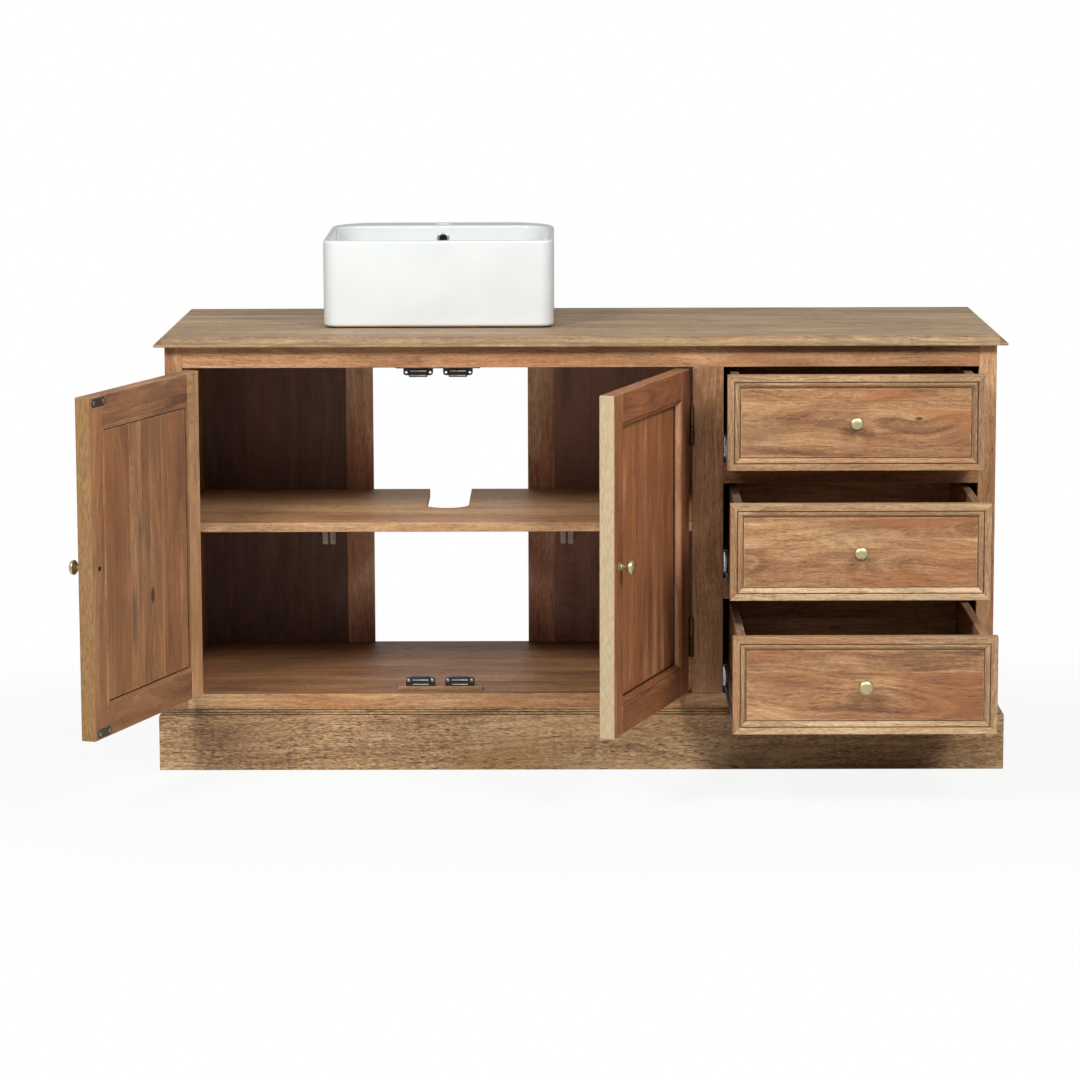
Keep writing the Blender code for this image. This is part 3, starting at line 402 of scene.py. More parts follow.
def addBoard(mesh, low, high, along, seed, tint=0.5, paleSide=0.0, rounding=0.0012, knot=noKnot):
    low, high = Vector(low), Vector(high)
    centre, size = (low + high) / 2, high - low
    old = set(mesh.verts)
    cube = bmesh.ops.create_cube(mesh, size=1.0, matrix=Matrix.LocRotScale(centre, None, size))
    edges = list(dict.fromkeys(edge for vert in cube["verts"] for edge in vert.link_edges))
    bmesh.ops.bevel(mesh, geom=edges, offset=rounding, segments=2, profile=0.5, affect="EDGES")
    others = sorted((i for i in range(3) if i != along), key=lambda i: -size[i])
    stamp(mesh, old, centre, size / 2, (along, *others), (seed, tint, paleSide), knot)


def skin(mesh, first, second):  # faces between two loops
    for i in range(len(first)):
        mesh.faces.new((first[i - 1], first[i], second[i], second[i - 1]))


def loopEdges(mesh, loop):
    pairs = zip(loop, loop[1:] + loop[:1])
    return [mesh.edges.get(pair) or mesh.edges.new(pair) for pair in pairs]


def fill(mesh, edges):
    bmesh.ops.triangle_fill(mesh, use_beauty=True, use_dissolve=False, edges=edges)


# a profile of (u, v), swept along x
def addMoulding(mesh, profile, start, end, mitres, place, seed, tint=0.5):
    old = set(mesh.verts)
    layer = mesh.verts.layers.float_vector["soil"]
    ends = []
    for x, slope in ((start, mitres[0]), (end, -mitres[1])):
        ends.append([])
        for u, v, *soil in profile:  # a third number darkens a groove: grime, and painted shade in the hollow
            vert = mesh.verts.new((x + slope * u, u, v))
            vert[layer].x = soil[0] if soil else 0.0
            ends[-1].append(vert)
    skin(mesh, *ends)
    mesh.faces.new(ends[0])
    mesh.faces.new(ends[1])
    middle = ((start + end) / 2, profile[0][0], profile[0][1])
    stamp(mesh, old, middle, ((end - start) / 2 + 0.1, 9.0, 9.0), (0, 1, 2), (seed, tint, 0.0))
    for vert in mesh.verts:
        if vert not in old:
            vert.co = place @ vert.co


# a profile mitred round a rectangle: top, bottom, left and right; way 1 spreads outwards, -1 inwards
def addBorder(mesh, profile, low, high, way, seeds, tints):
    front, level = (0, 0, 1, low.y), (1, 0, 0, 0)
    sides = (
        (low.x, high.x, (level, front, (0, way, 0, high.z))),
        (low.x, high.x, (level, front, (0, -way, 0, low.z))),
        (low.z, high.z, ((0, -way, 0, low.x), front, level)),
        (low.z, high.z, ((0, way, 0, high.x), front, level)),
    )
    for (start, end, rows), seed, tint in zip(sides, seeds, tints):
        turn = Matrix((*rows, (0, 0, 0, 1)))
        addMoulding(mesh, profile, start, end, (-way, -way), turn, seed, tint)


def addPlate(mesh, rings, low, high, place=Matrix()):  # outline first, then its holes
    levels = []
    for w in (low, high):
        loops, edges = [], []
        for ring in rings:
            loop = [mesh.verts.new(place @ Vector((u, v, w))) for u, v in ring]
            edges += loopEdges(mesh, loop)
            loops.append(loop)
        if len(rings) == 1:
            mesh.faces.new(loops[0])
        else:
            fill(mesh, edges)
        levels.append(loops)
    for under, over in zip(*levels):
        skin(mesh, under, over)


def addLathe(mesh, profile, steps, place=Matrix()):  # profile of (radius, height)
    layer = mesh.verts.layers.float_vector["grain"]
    rows = []
    for radius, height in profile:
        count = steps if radius > 1e-6 else 1
        row = []
        for i in range(count):
            angle = 2 * math.pi * i / count
            spot = Vector((radius * math.cos(angle), radius * math.sin(angle), height))
            vert = mesh.verts.new(place @ spot)
            vert[layer] = (height, radius, 0.0)
            row.append(vert)
        rows.append(row)
    for first, second in zip(rows, rows[1:]):
        for i in range(steps):
            corners = [first[(i - 1) % len(first)], first[i % len(first)]]
            corners += [second[i % len(second)], second[(i - 1) % len(second)]]
            mesh.faces.new(list(dict.fromkeys(corners)))  # a triangle where a row is one point


def addScrew(mesh, place, radius, height):  # domed head with a cross recess
    arm, reach = radius * 0.16, radius * 0.56
    cross = [(reach, arm), (arm, arm), (arm, reach), (-arm, reach), (-arm, arm), (-reach, arm)]
    cross += [(-u, -v) for u, v in cross]
    rows = []
    for share, level in ((1.0, 0.0), (1.0, 0.35), (0.86, 0.75), (None, 1.0), (None, 0.25)):
        row = []
        for u, v in cross:
            grow = radius * share / math.hypot(u, v) if share else 1.0
            row.append(mesh.verts.new(place @ Vector((u * grow, v * grow, height * level))))
        rows.append(row)
    for first, second in zip(rows, rows[1:]):
        skin(mesh, first, second)
    mesh.faces.new(rows[0])
    mesh.faces.new(rows[-1])


def arcOf(centre, radii, start, end, steps):
    points = []
    for i in range(steps + 1):
        angle = math.radians(start + (end - start) * i / steps)
        u, v = radii[0] * math.cos(angle), radii[1] * math.sin(angle)
        points.append((centre[0] + u, centre[1] + v))
    return points


def quarter(steps):  # sines and cosines through a right angle
    angles = [math.pi / 2 * i / steps for i in range(steps + 1)]
    return [(math.sin(angle), math.cos(angle)) for angle in angles]


def roundedBox(low, high, radius, steps, farRadius=None):  # farRadius: the corners at high v
    far = radius if farRadius is None else farRadius
    corners = ((high[0] - radius, low[1] + radius, radius, -90), (high[0] - far, high[1] - far, far, 0))
    corners += ((low[0] + far, high[1] - far, far, 90), (low[0] + radius, low[1] + radius, radius, 180))
    points = []
    for u, v, size, start in corners:
        points += arcOf((u, v), (size, size), start, start + 90, steps)
    return points


def circle(centre, radius, steps=24):
    return arcOf(centre, (radius, radius), 0, 360, steps)[:-1]


def fadeTint(mesh, axis, span, tints, pick=lambda vert: True):  # tint runs from one side to another
    layer = mesh.verts.layers.float_vector["board"]
    for vert in mesh.verts:
        if pick(vert):
            share = (vert.co[axis] - span[0]) / (span[1] - span[0])
            vert[layer].y = tints[0] + (tints[1] - tints[0]) * share


def makePiece(name, mesh, look, body, nodes=(), place=None, smoothAngle=50):
    bmesh.ops.recalc_face_normals(mesh, faces=mesh.faces)
    data = bpy.data.meshes.new(name)
    mesh.to_mesh(data)
    mesh.free()
    data.shade_smooth()
    data.set_sharp_from_angle(angle=math.radians(smoothAngle))
    data.materials.append(look)
    piece = bpy.data.objects.new(name, data)
    bpy.context.scene.collection.objects.link(piece)
    if place:
        piece.matrix_world = place
    facing = piece.modifiers.new("facing", "WEIGHTED_NORMAL")
    facing.keep_sharp = True
    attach(piece, body)
    if nodes:
        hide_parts(*nodes)


def placedBox(node, place):  # a node's box in the axes of a turned door
    inverse = place.inverted()
    points = [inverse @ vert.co for vert in frame["nodes"][node].data.vertices]
    low = Vector([min(point[i] for point in points) for i in range(3)])
    high = Vector([max(point[i] for point in points) for i in range(3)])
    return low, high


toX = Matrix(((0, 0, 1, 0), (1, 0, 0, 0), (0, 1, 0, 0), (0, 0, 0, 1)))  # plate's u, v, w to Y, Z, X
toFront = Matrix.Rotation(math.pi / 2, 4, "X")  # lathe's axis to -Y
toBack = Matrix.Rotation(-math.pi / 2, 4, "X")  # lathe's axis to +Y
toWall = Matrix(((1, 0, 0, 0), (0, 0, 1, 0), (0, 1, 0, 0), (0, 0, 0, 1)))  # plate's u, v, w to X, Z, Y

# the plain boards: grain axis, look, slot, seed and tint
boards = {
    "stile_left": (2, frameWood, "frame_wood", 0.11, 0.60),
    # painted shade: the centre stile's tint is lowered for the shadow cast on it
    "stile_centre": (2, frameWood, "frame_wood", 0.23, 0.42),
    "stile_right": (2, frameWood, "frame_wood", 0.37, 0.55),
    "rail_top": (0, frameWood, "frame_wood", 0.41, 0.50),
    "rail_bottom": (0, frameWood, "frame_wood", 0.53, 0.70),
    "drawer_rail_upper": (0, frameWood, "frame_wood", 0.67, 0.50),
    "drawer_rail_lower": (0, frameWood, "frame_wood", 0.71, 0.45),
    "side_panel_left": (2, frameWood, "frame_wood", 1.13, 0.50),
    "partition_panel": (2, innerWood, "inner_wood", 1.29, 0.50),
    "floor_panel": (0, shelfWood, "inner_wood", 1.31, 0.50),
    "back_stile_left": (2, backWood, "inner_wood", 1.43, 0.50),
    "back_stile_right": (2, backWood, "inner_wood", 1.57, 0.50),
    "back_panel_left": (2, innerWood, "inner_wood", 1.61, 0.50),
    "back_panel_right": (2, innerWood, "inner_wood", 1.73, 1.25),
}
lining = {
    "cover": 0.005, "width": 0.102, "joint": 0.0006, "rounding": 0.0016, "seedStep": 0.37,
    "tints": (0.34, 0.22, 0.42, 0.28, 0.38),
    "seeds": {
        "back_panel_left": 5.21, "back_panel_right": 7.43,
        "back_stile_left": 2.17, "back_stile_right": 3.39,
    },
}
# painted light and shade: these boards run darker or paler from one end to the other
paintedShading = {  # axis, and tints at its two ends
    "floor_panel": (1, (0.52, 0.25)), "back_stile_left": (2, (0.05, 1.10)),
    "back_stile_right": (2, (0.25, 1.10)), "back_panel_right": (2, (1.00, 1.65)),
}
shadedTopLine, topFace = {"rail_bottom": 0.5}, 0.0001  # painted shade: a dark line along the top
tongues = {"back_panel_left": (0.0, 0.006), "back_panel_right": (0.006, 0.0)}  # let into the back stiles
for node, (along, look, slot, seed, tint) in boards.items():
    mesh = newMesh()
    low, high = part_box(node)
    leftTongue, rightTongue = tongues.get(node, (0.0, 0.0))
    low.x, high.x = low.x - leftTongue, high.x + rightTongue
    if node in lining["seeds"]:
        high.y -= lining["cover"]
    addBoard(mesh, low, high, along, seed, tint)
    if node in paintedShading:
        axis, tints = paintedShading[node]
        fadeTint(mesh, axis, (low[axis], high[axis]), tints)
    if node in shadedTopLine:
        layer = mesh.verts.layers.float_vector["soil"]
        for vert in mesh.verts:
            if vert.co.z > high.z - topFace:
                vert[layer].x = shadedTopLine[node]
    makePiece("board_" + node, mesh, look, "carcass", [node])
print("boards:", len(boards))


def makeCover(c, node):  # upright boards, seen from behind only
    low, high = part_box(node)
    count = max(1, round((high.x - low.x) / c["width"]))
    step = (high.x - low.x) / count
    mesh = newMesh()
    for i in range(count):
        left, right = low.x + i * step + c["joint"] / 2, low.x + (i + 1) * step - c["joint"] / 2
        tint, seed = c["tints"][i % len(c["tints"])], c["seeds"][node] + c["seedStep"] * i
        first, second = (left, high.y - c["cover"], low.z), (right, high.y, high.z)
        addBoard(mesh, first, second, 2, seed, tint, 0.0, c["rounding"])
    makePiece("cover_" + node, mesh, frameWood, "carcass")


for node in lining["seeds"]:
    makeCover(lining, node)
print("back boards")

sideRight = {"board": 0.020, "lap": 0.001, "seed": 1.87, "packingTint": 0.35}
low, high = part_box("side_panel_right")
mesh = newMesh()
inner = high.x - sideRight["board"]
addBoard(mesh, (inner, low.y, low.z), high, 2, sideRight["seed"])
for name in ("upper", "middle", "lower"):
    runnerLow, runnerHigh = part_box(f"drawer_{name}_cabinet_runner_right")
    first = (low.x, runnerLow.y, runnerLow.z)
    second = (inner + sideRight["lap"], runnerHigh.y, runnerHigh.z)
    addBoard(mesh, first, second, 1, sideRight["seed"], sideRight["packingTint"])
makePiece("board_side_panel_right", mesh, frameWood, "carcass", ["side_panel_right"])

worktop = {
    "beadHeight": 0.003, "beadInset": 0.015, "coveWidth": 0.0125, "coveDepth": 0.0105, "fillet": 0.001,
    "rounding": 0.0007, "wasteRadius": 0.030, "tapRadius": 0.0175, "seed": 2.11, "edgeTint": 0.56,
    "tilt": 0.0003, "coveFrom": 6, "under": 0.001,
}


def worktopProfile(w):  # (inset, drop) from the top face down to the underside
    r, inset, bead, fillet = w["rounding"], w["beadInset"], w["beadHeight"], w["fillet"]
    points = arcOf((inset + r, r), (r, r), 270, 180, 3)
    points += [(inset, bead - w["tilt"]), (fillet + w["coveWidth"], bead)]
    points += arcOf((fillet, bead), (w["coveWidth"], w["coveDepth"]), w["coveFrom"], 90, 10)
    drop = bead + w["coveDepth"]
    return points + [(r, drop), *arcOf((r, drop + r), (r, r), 240, 180, 2)]


def makeWorktop(w):
    low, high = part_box("worktop")
    holes = [circle((basinCentre["x"], basinCentre["wasteY"]), w["wasteRadius"])]
    holes += [circle((basinCentre["x"], basinCentre["tapY"]), w["tapRadius"])]
    mesh, rows = newMesh(), []
    thick = high.z - low.z
    profile = worktopProfile(w) + [(0.0, thick - w["rounding"]), (w["rounding"], thick)]
    for inset, drop in profile:
        corners = ((low.x + inset, low.y + inset), (high.x - inset, low.y + inset))
        corners += ((high.x - inset, high.y), (low.x + inset, high.y))
        rows.append([mesh.verts.new((x, y, high.z - drop)) for x, y in corners])
    for first, second in zip(rows, rows[1:]):
        skin(mesh, first, second)
    tubes = []
    for row, z in ((rows[0], high.z), (rows[-1], low.z)):
        edges = loopEdges(mesh, row)
        for hole in holes:
            loop = [mesh.verts.new((u, v, z)) for u, v in hole]
            edges += loopEdges(mesh, loop)
            tubes.append(loop)
        fill(mesh, edges)
    for over, under in zip(tubes[:2], tubes[2:]):
        skin(mesh, over, under)
    centre, half = (low + high) / 2, (high - low) / 2
    half.x -= w["beadInset"]
    stamp(mesh, set(), centre, half, (0, 1, 2), (w["seed"], 0.5, 0.0))

    def onEdge(vert):
        return low.z + w["under"] < vert.co.z < high.z - w["rounding"] / 2

    fadeTint(mesh, 1, (low.y, high.y), (w["edgeTint"], w["edgeTint"]), onEdge)
    makePiece("worktop_slab", mesh, worktopWood, "carcass", ["worktop"])


basinCentre = {"x": -0.2715, "wasteY": 0.3385, "tapY": 0.5325}
makeWorktop(worktop)
print("worktop")

shelf = {
    "slotWidth": 0.084, "slotLength": 0.275, "slotX": -0.2615, "rounding": 0.0012, "seed": 2.37,
    "paintedShading": (0.60, 1.45), "lip": 0.80,
}


def makeShelf(s):
    low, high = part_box("shelf")
    radius = s["slotWidth"] / 2
    outline = [(low.x, low.y), (high.x, low.y), (high.x, high.y), (s["slotX"] + radius, high.y)]
    outline += arcOf((s["slotX"], high.y - s["slotLength"] + radius), (radius, radius), 0, -180, 20)
    outline += [(s["slotX"] - radius, high.y), (low.x, high.y)]
    mesh = newMesh()
    addPlate(mesh, [outline], low.z, high.z)
    rims = [edge for edge in mesh.edges if abs(edge.verts[0].co.z - edge.verts[1].co.z) < 1e-6]
    bmesh.ops.bevel(mesh, geom=rims, offset=s["rounding"], segments=2, profile=0.5, affect="EDGES")
    stamp(mesh, set(), (low + high) / 2, (high - low) / 2, (0, 1, 2), (s["seed"], 0.5, 0.0))
    # painted light: the shelf top runs paler towards the back
    fadeTint(mesh, 1, (low.y, high.y), s["paintedShading"])

    def onLip(vert):
        return vert.co.y < low.y + s["rounding"] / 2

    # painted highlight: the front edge faces get a paler tint of their own
    fadeTint(mesh, 1, (low.y, high.y), (s["lip"], s["lip"]), onLip)
    makePiece("shelf_board", mesh, shelfWood, "carcass", ["shelf"])


makeShelf(shelf)

plinth = {
    "profile": [
        # the third numbers paint dark lines into the step corners: painted shade
        (0.0000, 0.0000), (0.0194, 0.0000), (0.0200, 0.0006), (0.0200, 0.1040), (0.0197, 0.1048),
        (0.0189, 0.1053), (0.0152, 0.1056), (0.0128, 0.1057, 1.0), (0.0128, 0.1069, 1.0), (0.0150, 0.1070),
        (0.0150, 0.1083), (0.0147, 0.1090), (0.0139, 0.1094), (0.0102, 0.1096), (0.0078, 0.1097, 1.0),
        (0.0078, 0.1109, 1.0), (0.0100, 0.1110), (0.0100, 0.1123), (0.0097, 0.1130), (0.0089, 0.1134),
        (0.0052, 0.1136), (0.0028, 0.1137, 1.0), (0.0028, 0.1148, 1.0), (0.0050, 0.1149), (0.0050, 0.1159),
        (0.0047, 0.1166), (0.0039, 0.1170), (0.0000, 0.1170),
    ],
    "seeds": {"plinth_front": 2.51, "plinth_left": 2.63, "plinth_right": 2.77}, "paler": (0.47, 0.75),
}


def makePlinth(p):
    thick = max(point[0] for point in p["profile"])
    low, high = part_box("plinth_front")
    places = {
        "plinth_front": (
            low.x + thick, high.x - thick,
            Matrix(((1, 0, 0, 0), (0, -1, 0, high.y), (0, 0, 1, 0), (0, 0, 0, 1))), (-1, -1),
        ),
    }
    for node, side in (("plinth_left", -1), ("plinth_right", 1)):
        sideLow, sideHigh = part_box(node)
        back = sideHigh.x if side < 0 else sideLow.x
        place = Matrix(((0, side, 0, back), (1, 0, 0, 0), (0, 0, 1, 0), (0, 0, 0, 1)))
        places[node] = (sideLow.y + thick, sideHigh.y, place, (-1, 0))
    for node, (start, end, place, mitres) in places.items():
        mesh = newMesh()
        addMoulding(mesh, p["profile"], start, end, mitres, place, p["seeds"][node])
        if node == "plinth_front":
            # painted light: the front board runs paler towards the right end
            fadeTint(mesh, 0, (low.x, high.x), p["paler"])
        makePiece("board_" + node, mesh, plinthWood, "carcass", [node], smoothAngle=40)


makePlinth(plinth)
print("shelf and plinth")

knob = {
    "steps": 40, "head": 0.0135, "rim": 0.0212, "length": 0.0289, "flat": 0.82,
    "profile": [  # foot, neck and the back of the head
        (0.0, 0.0), (0.0101, 0.0), (0.0105, 0.0005), (0.0105, 0.0014), (0.0097, 0.0021),
        (0.0071, 0.0026), (0.0061, 0.0034), (0.0054, 0.0040), (0.0042, 0.0062), (0.0040, 0.0085),
        (0.0044, 0.0115), (0.0064, 0.0142), (0.0091, 0.0170), (0.0121, 0.0192), (0.0132, 0.0203),
    ],
}


def knobProfile(k):
    profile, rise = list(k["profile"]), k["length"] - k["rim"]
    for across, up in arcOf((0.0, 0.0), (1.0, 1.0), 0, 90, 12)[:-1]:  # a face flatter than a ball
        profile.append((k["head"] * across ** k["flat"], k["rim"] + rise * up ** k["flat"]))
    return profile + [(0.0, k["length"])]


def makeKnob(node, body, box, place=Matrix()):
    low, high = box
    spot = Vector(((low.x + high.x) / 2, high.y, (low.z + high.z) / 2))
    mesh = newMesh()
    addLathe(mesh, knobProfile(knob), knob["steps"], place @ Matrix.Translation(spot) @ toFront)
    makePiece("turned_" + node, mesh, agedBrass, body, [node], smoothAngle=60)
    return spot


doors = {
    "door_left": {
        "joint": "door_left_hinge", "look": leftDoorWood, "seed": 3.1, "paleSide": 60.0,
        "tints": {"hinge": 1.05, "free": 0.45, "top": 0.30, "bottom": 0.45},
        "beads": {"hinge": 0.60, "free": 0.60, "top": 0.45, "bottom": 0.55},
        "staves": [0.30, 0.56, 0.70], "staveTints": [0.47, 0.44, 0.58, 0.44],
        "knots": {1: (-0.084, 0.004, 0.009)},
    },
    "door_right": {
        "joint": "door_right_hinge", "look": rightDoorWood, "seed": 4.3, "paleSide": 60.0,
        "tints": {"hinge": 0.34, "free": 0.54, "top": 0.36, "bottom": 0.36},
        # painted highlight: the hinge-side bead is tinted much paler where the light falls on it
        "beads": {"hinge": 1.30, "free": 0.60, "top": 0.55, "bottom": 0.50},
        "staves": [0.27, 0.52, 0.78], "staveTints": [0.48, 0.52, 0.44, 0.56], "knots": {},
    },
}
doorBuild = {
    "stile": 0.060, "rail": 0.063, "bead": 0.009, "beadDepth": 0.010, "quirk": 0.0012, "rounding": 0.0020,
    "quirkSlope": 0.0003, "quirkWidth": 0.0006, "shadow": 0.0004, "edge": 0.0008, "backStep": 0.0022,
    "panelGroove": 0.003, "panelLine": 0.0018, "coreShadeTint": 0.1, "staveRounding": 0.0001,
    "strike": (0.054, 0.015, 0.0012), "strikeIn": 0.037, "strikeDown": 0.0115, "strikeRadius": 0.0065,
    "strikeScrewAt": 0.36, "strikeScrew": (0.0044, 0.0008), "knobScrew": (0.0048, 0.0012),
}


def doorPlace(jointName):  # the door as it stands open, from its own shut axes on the pin
    joint = next(one for one in frame["joints"] if one["name"] == jointName)
    turn = math.radians(-joint["range_deg"][0] * joint["axis"][2])
    pin = Vector((joint["pos_m"][0], joint["pos_m"][1], 0.0))
    return Matrix.Translation(pin) @ Matrix.Rotation(turn, 4, "Z")


def beadProfile(thick, b):  # u from the opening outwards, v from the front face inwards
    bead, depth, quirk, edge = b["bead"], b["beadDepth"], b["quirk"], b["edge"]
    wide, tall = bead - b["quirkWidth"], depth - quirk
    # the third numbers darken the quirk and the gap at the panel: painted shade
    profile = [(bead, 0.0), (bead - b["quirkSlope"], quirk, 1.0)]
    profile += [(wide - wide * rise, depth - tall * fall) for rise, fall in quarter(8)]
    profile += [(0.0, depth + b["shadow"], 1.0), (0.0, thick - b["backStep"], 1.0)]
    return profile + [(0.0, thick - edge, 0.5), (edge, thick), (bead, thick)]


def makeDoor(name, d, b):
    place = doorPlace(d["joint"])
    low, high = placedBox(name + "_frame", place)
    hingeLeft = abs(low.x) < abs(high.x)
    holeLow = Vector((low.x + b["stile"], low.y, low.z + b["rail"]))
    holeHigh = Vector((high.x - b["stile"], high.y, high.z - b["rail"]))
    bead, tints, seed = b["bead"], d["tints"], d["seed"]
    leftTint, rightTint = ("hinge", "free") if hingeLeft else ("free", "hinge")
    leftPaleSide, rightPaleSide = (0.0, d["paleSide"]) if hingeLeft else (-d["paleSide"], 0.0)
    mesh = newMesh()
    profile = beadProfile(high.y - low.y, b)
    seeds = [seed + step for step in (0.43, 0.29, 0.0, 0.17)]
    beads = [d["beads"][side] for side in ("top", "bottom", leftTint, rightTint)]
    addBorder(mesh, profile, holeLow, holeHigh, 1, seeds, beads)
    railLow, railHigh = holeLow.x - bead, holeHigh.x + bead
    rails = (
        (low, (railLow, high.y, high.z), 2, 0.0, leftTint, leftPaleSide),
        ((railHigh, low.y, low.z), high, 2, 0.17, rightTint, rightPaleSide),
        ((railLow, low.y, low.z), (railHigh, high.y, holeLow.z - bead), 0, 0.29, "bottom", 0.0),
        ((railLow, low.y, holeHigh.z + bead), (railHigh, high.y, high.z), 0, 0.43, "top", 0.0),
    )
    for first, second, along, step, tint, paleSide in rails:
        addBoard(mesh, first, second, along, seed + step, tints[tint], paleSide, b["rounding"])
    makePiece(name + "_joinery", mesh, d["look"], name, [name + "_frame"], place)
    panelLow, panelHigh = placedBox(name + "_panel", place)
    mesh = newMesh()
    sunk = Vector((0.0, b["panelGroove"], 0.0))
    # painted shade: the core behind the staves is tinted darkest, showing as dark gaps round them
    addBoard(mesh, panelLow + sunk, panelHigh - sunk, 2, seed + 0.53, b["coreShadeTint"])
    cuts = [0.0, *d["staves"], 1.0]
    fieldLow, fieldHigh = holeLow.x + b["panelLine"], holeHigh.x - b["panelLine"]
    wide = fieldHigh - fieldLow
    for i, tint in enumerate(d["staveTints"]):
        staveLow = (fieldLow + wide * cuts[i], panelLow.y, holeLow.z + b["panelLine"])
        staveHigh = (fieldLow + wide * cuts[i + 1], panelHigh.y, holeHigh.z - b["panelLine"])
        own, knot = seed + 0.61 + 0.13 * i, d["knots"].get(i, noKnot)
        addBoard(mesh, staveLow, staveHigh, 2, own, tint, 0.0, b["staveRounding"], knot)
    makePiece(name + "_staves", mesh, d["look"], name, [name + "_panel"], place)
    spot = makeKnob(name + "_knob", name, placedBox(name + "_knob", place), place)
    # strike plates for the catches and the knob's screw, on the inside of the free stile
    free, inward = (high.x, -1) if hingeLeft else (low.x, 1)
    plates, screws = newMesh(), newMesh()
    length, tall, metal = b["strike"]
    for z in (high.z - b["strikeDown"], low.z + b["strikeDown"]):
        middle = Vector((free + inward * b["strikeIn"], high.y, z))
        flat = place @ Matrix.Translation(middle) @ toBack
        outline = roundedBox((-length / 2, -tall / 2), (length / 2, tall / 2), b["strikeRadius"], 6)
        addPlate(plates, [outline], 0.0, metal, flat)
        for u in (-length * b["strikeScrewAt"], length * b["strikeScrewAt"]):
            addScrew(screws, flat @ Matrix.Translation((u, 0.0, metal)), *b["strikeScrew"])
    makePiece(name + "_strikes", plates, darkSteel, name)
    makePiece(name + "_screws", screws, zincSteel, name)
    screws = newMesh()
    addScrew(screws, place @ Matrix.Translation((spot.x, high.y, spot.z)) @ toBack, *b["knobScrew"])
    makePiece(name + "_knob_screw", screws, blackSteel, name)


for name, settings in doors.items():
    makeDoor(name, settings, doorBuild)
print("doors")

hinge = {
    "barrel": 0.0042, "steps": 20, "chamfer": 0.0004, "screws": (-0.026, 0.0, 0.026), "corner": 0.002,
    "leaf": (0.0002, 0.0012), "leafIn": 0.2, "play": 0.0002, "screw": (0.0034, 0.00015), "screwOut": 0.001,
}


def makeLeaf(node, body, place, h, side, knuckles):  # side: the side of the pin that the leaf lies on
    low, high = placedBox(node, place)
    mesh, screws = newMesh(), newMesh()
    near, far = (side * level for level in h["leaf"])
    leaf = roundedBox((h["barrel"] * h["leafIn"], low.z), (high.y, high.z), h["corner"], 4)
    addPlate(mesh, [leaf], min(near, far), max(near, far), toX)
    middle = (low.z + high.z) / 2
    for start, end in knuckles:
        a, c = h["barrel"], h["chamfer"]
        profile = [(0.0, start), (a - c, start), (a, start + c), (a, end - c), (a - c, end), (0.0, end)]
        addLathe(mesh, profile, h["steps"], Matrix.Translation((0.0, 0.0, middle)))
    y = (h["barrel"] + high.y) / 2 + h["screwOut"]
    turn = Matrix.Rotation(-side * math.pi / 2, 4, "Y")
    for offset in h["screws"]:
        addScrew(screws, Matrix.Translation((near, y, middle + offset)) @ turn, *h["screw"])
    makePiece("brass_" + node, mesh, shadedBrass, body, [node], place)
    makePiece("screws_" + node, screws, shadedBrass, body, (), place)


def makeHinges(h):
    for door, settings in doors.items():
        opened = doorPlace(settings["joint"])
        fixed = Matrix.Translation(opened.to_translation())
        side, play = 1 if door == "door_left" else -1, h["play"]
        for level in ("upper", "lower"):
            leaf, frameLeaf = f"{door}_leaf_{level}", f"{door}_frame_leaf_{level}"
            low, high = placedBox(leaf, opened)
            end = (high.z - low.z) / 2
            knuckle = end / 3
            makeLeaf(leaf, door, opened, h, side, [(-end, -knuckle - play), (knuckle + play, end)])
            makeLeaf(frameLeaf, "carcass", fixed, h, -side, [(-knuckle + play, knuckle - play)])


makeHinges(hinge)
print("hinges")

drawers = {
    "drawer_upper": {
        "seed": 5.1, "tints": (0.50, 0.62), "trimTint": 0.50, "lean": 0.20,
        "knots": {0: (0.116, 0.027, 0.004)},
    },
    "drawer_middle": {"seed": 5.9, "tints": (0.62, 0.55), "trimTint": 0.52, "lean": 0.15, "knots": {}},
    "drawer_lower": {"seed": 6.7, "tints": (0.42, 0.60), "trimTint": 0.48, "lean": 0.26, "knots": {}},
}
drawerBuild = {
    "border": 0.0125, "bead": 0.0235, "recess": 0.0054, "rounding": 0.0016, "line": 0.0013,
    "groove": 0.0034, "grooveWidth": 0.0016, "sillTint": 0.25, "soil": 0.55,
    "seam": 0.64, "fieldRounding": 0.0004, "core": (0.0005, 0.0022, 0.0004), "coreShadeTint": 0.1,
    "wall": 0.015, "wallTint": 0.15, "endDrop": 0.002, "endTint": 0.65,
    "bottom": 0.008, "bottomLift": 0.001, "bottomTint": 0.6,
}


def borderProfile(thick, b):  # u from the outer edge inwards, v from the front face backwards
    border, bead, recess, r, soil = b["border"], b["bead"], b["recess"], b["rounding"], b["soil"]
    profile = [(0.0, thick), *arcOf((r, r), (r, r), 180, 270, 4)]
    # darkened points at the groove and at the step to the field: grime and painted shade
    profile += [(border - 0.0010, 0.0), (border - 0.0002, 0.0006), (border, b["groove"], soil)]
    start = border + b["grooveWidth"]
    profile += [(start, b["groove"], soil), (start, 0.0016)]
    wide, tall = bead - start - 0.0022, recess - 0.0014
    for rise, fall in quarter(8):
        profile.append((start + 0.0004 + wide * rise, recess - 0.0004 - tall * fall))
    return profile + [(bead - 0.0008, recess - 0.0002), (bead, recess + 0.0004, soil), (bead, thick, 1.0)]


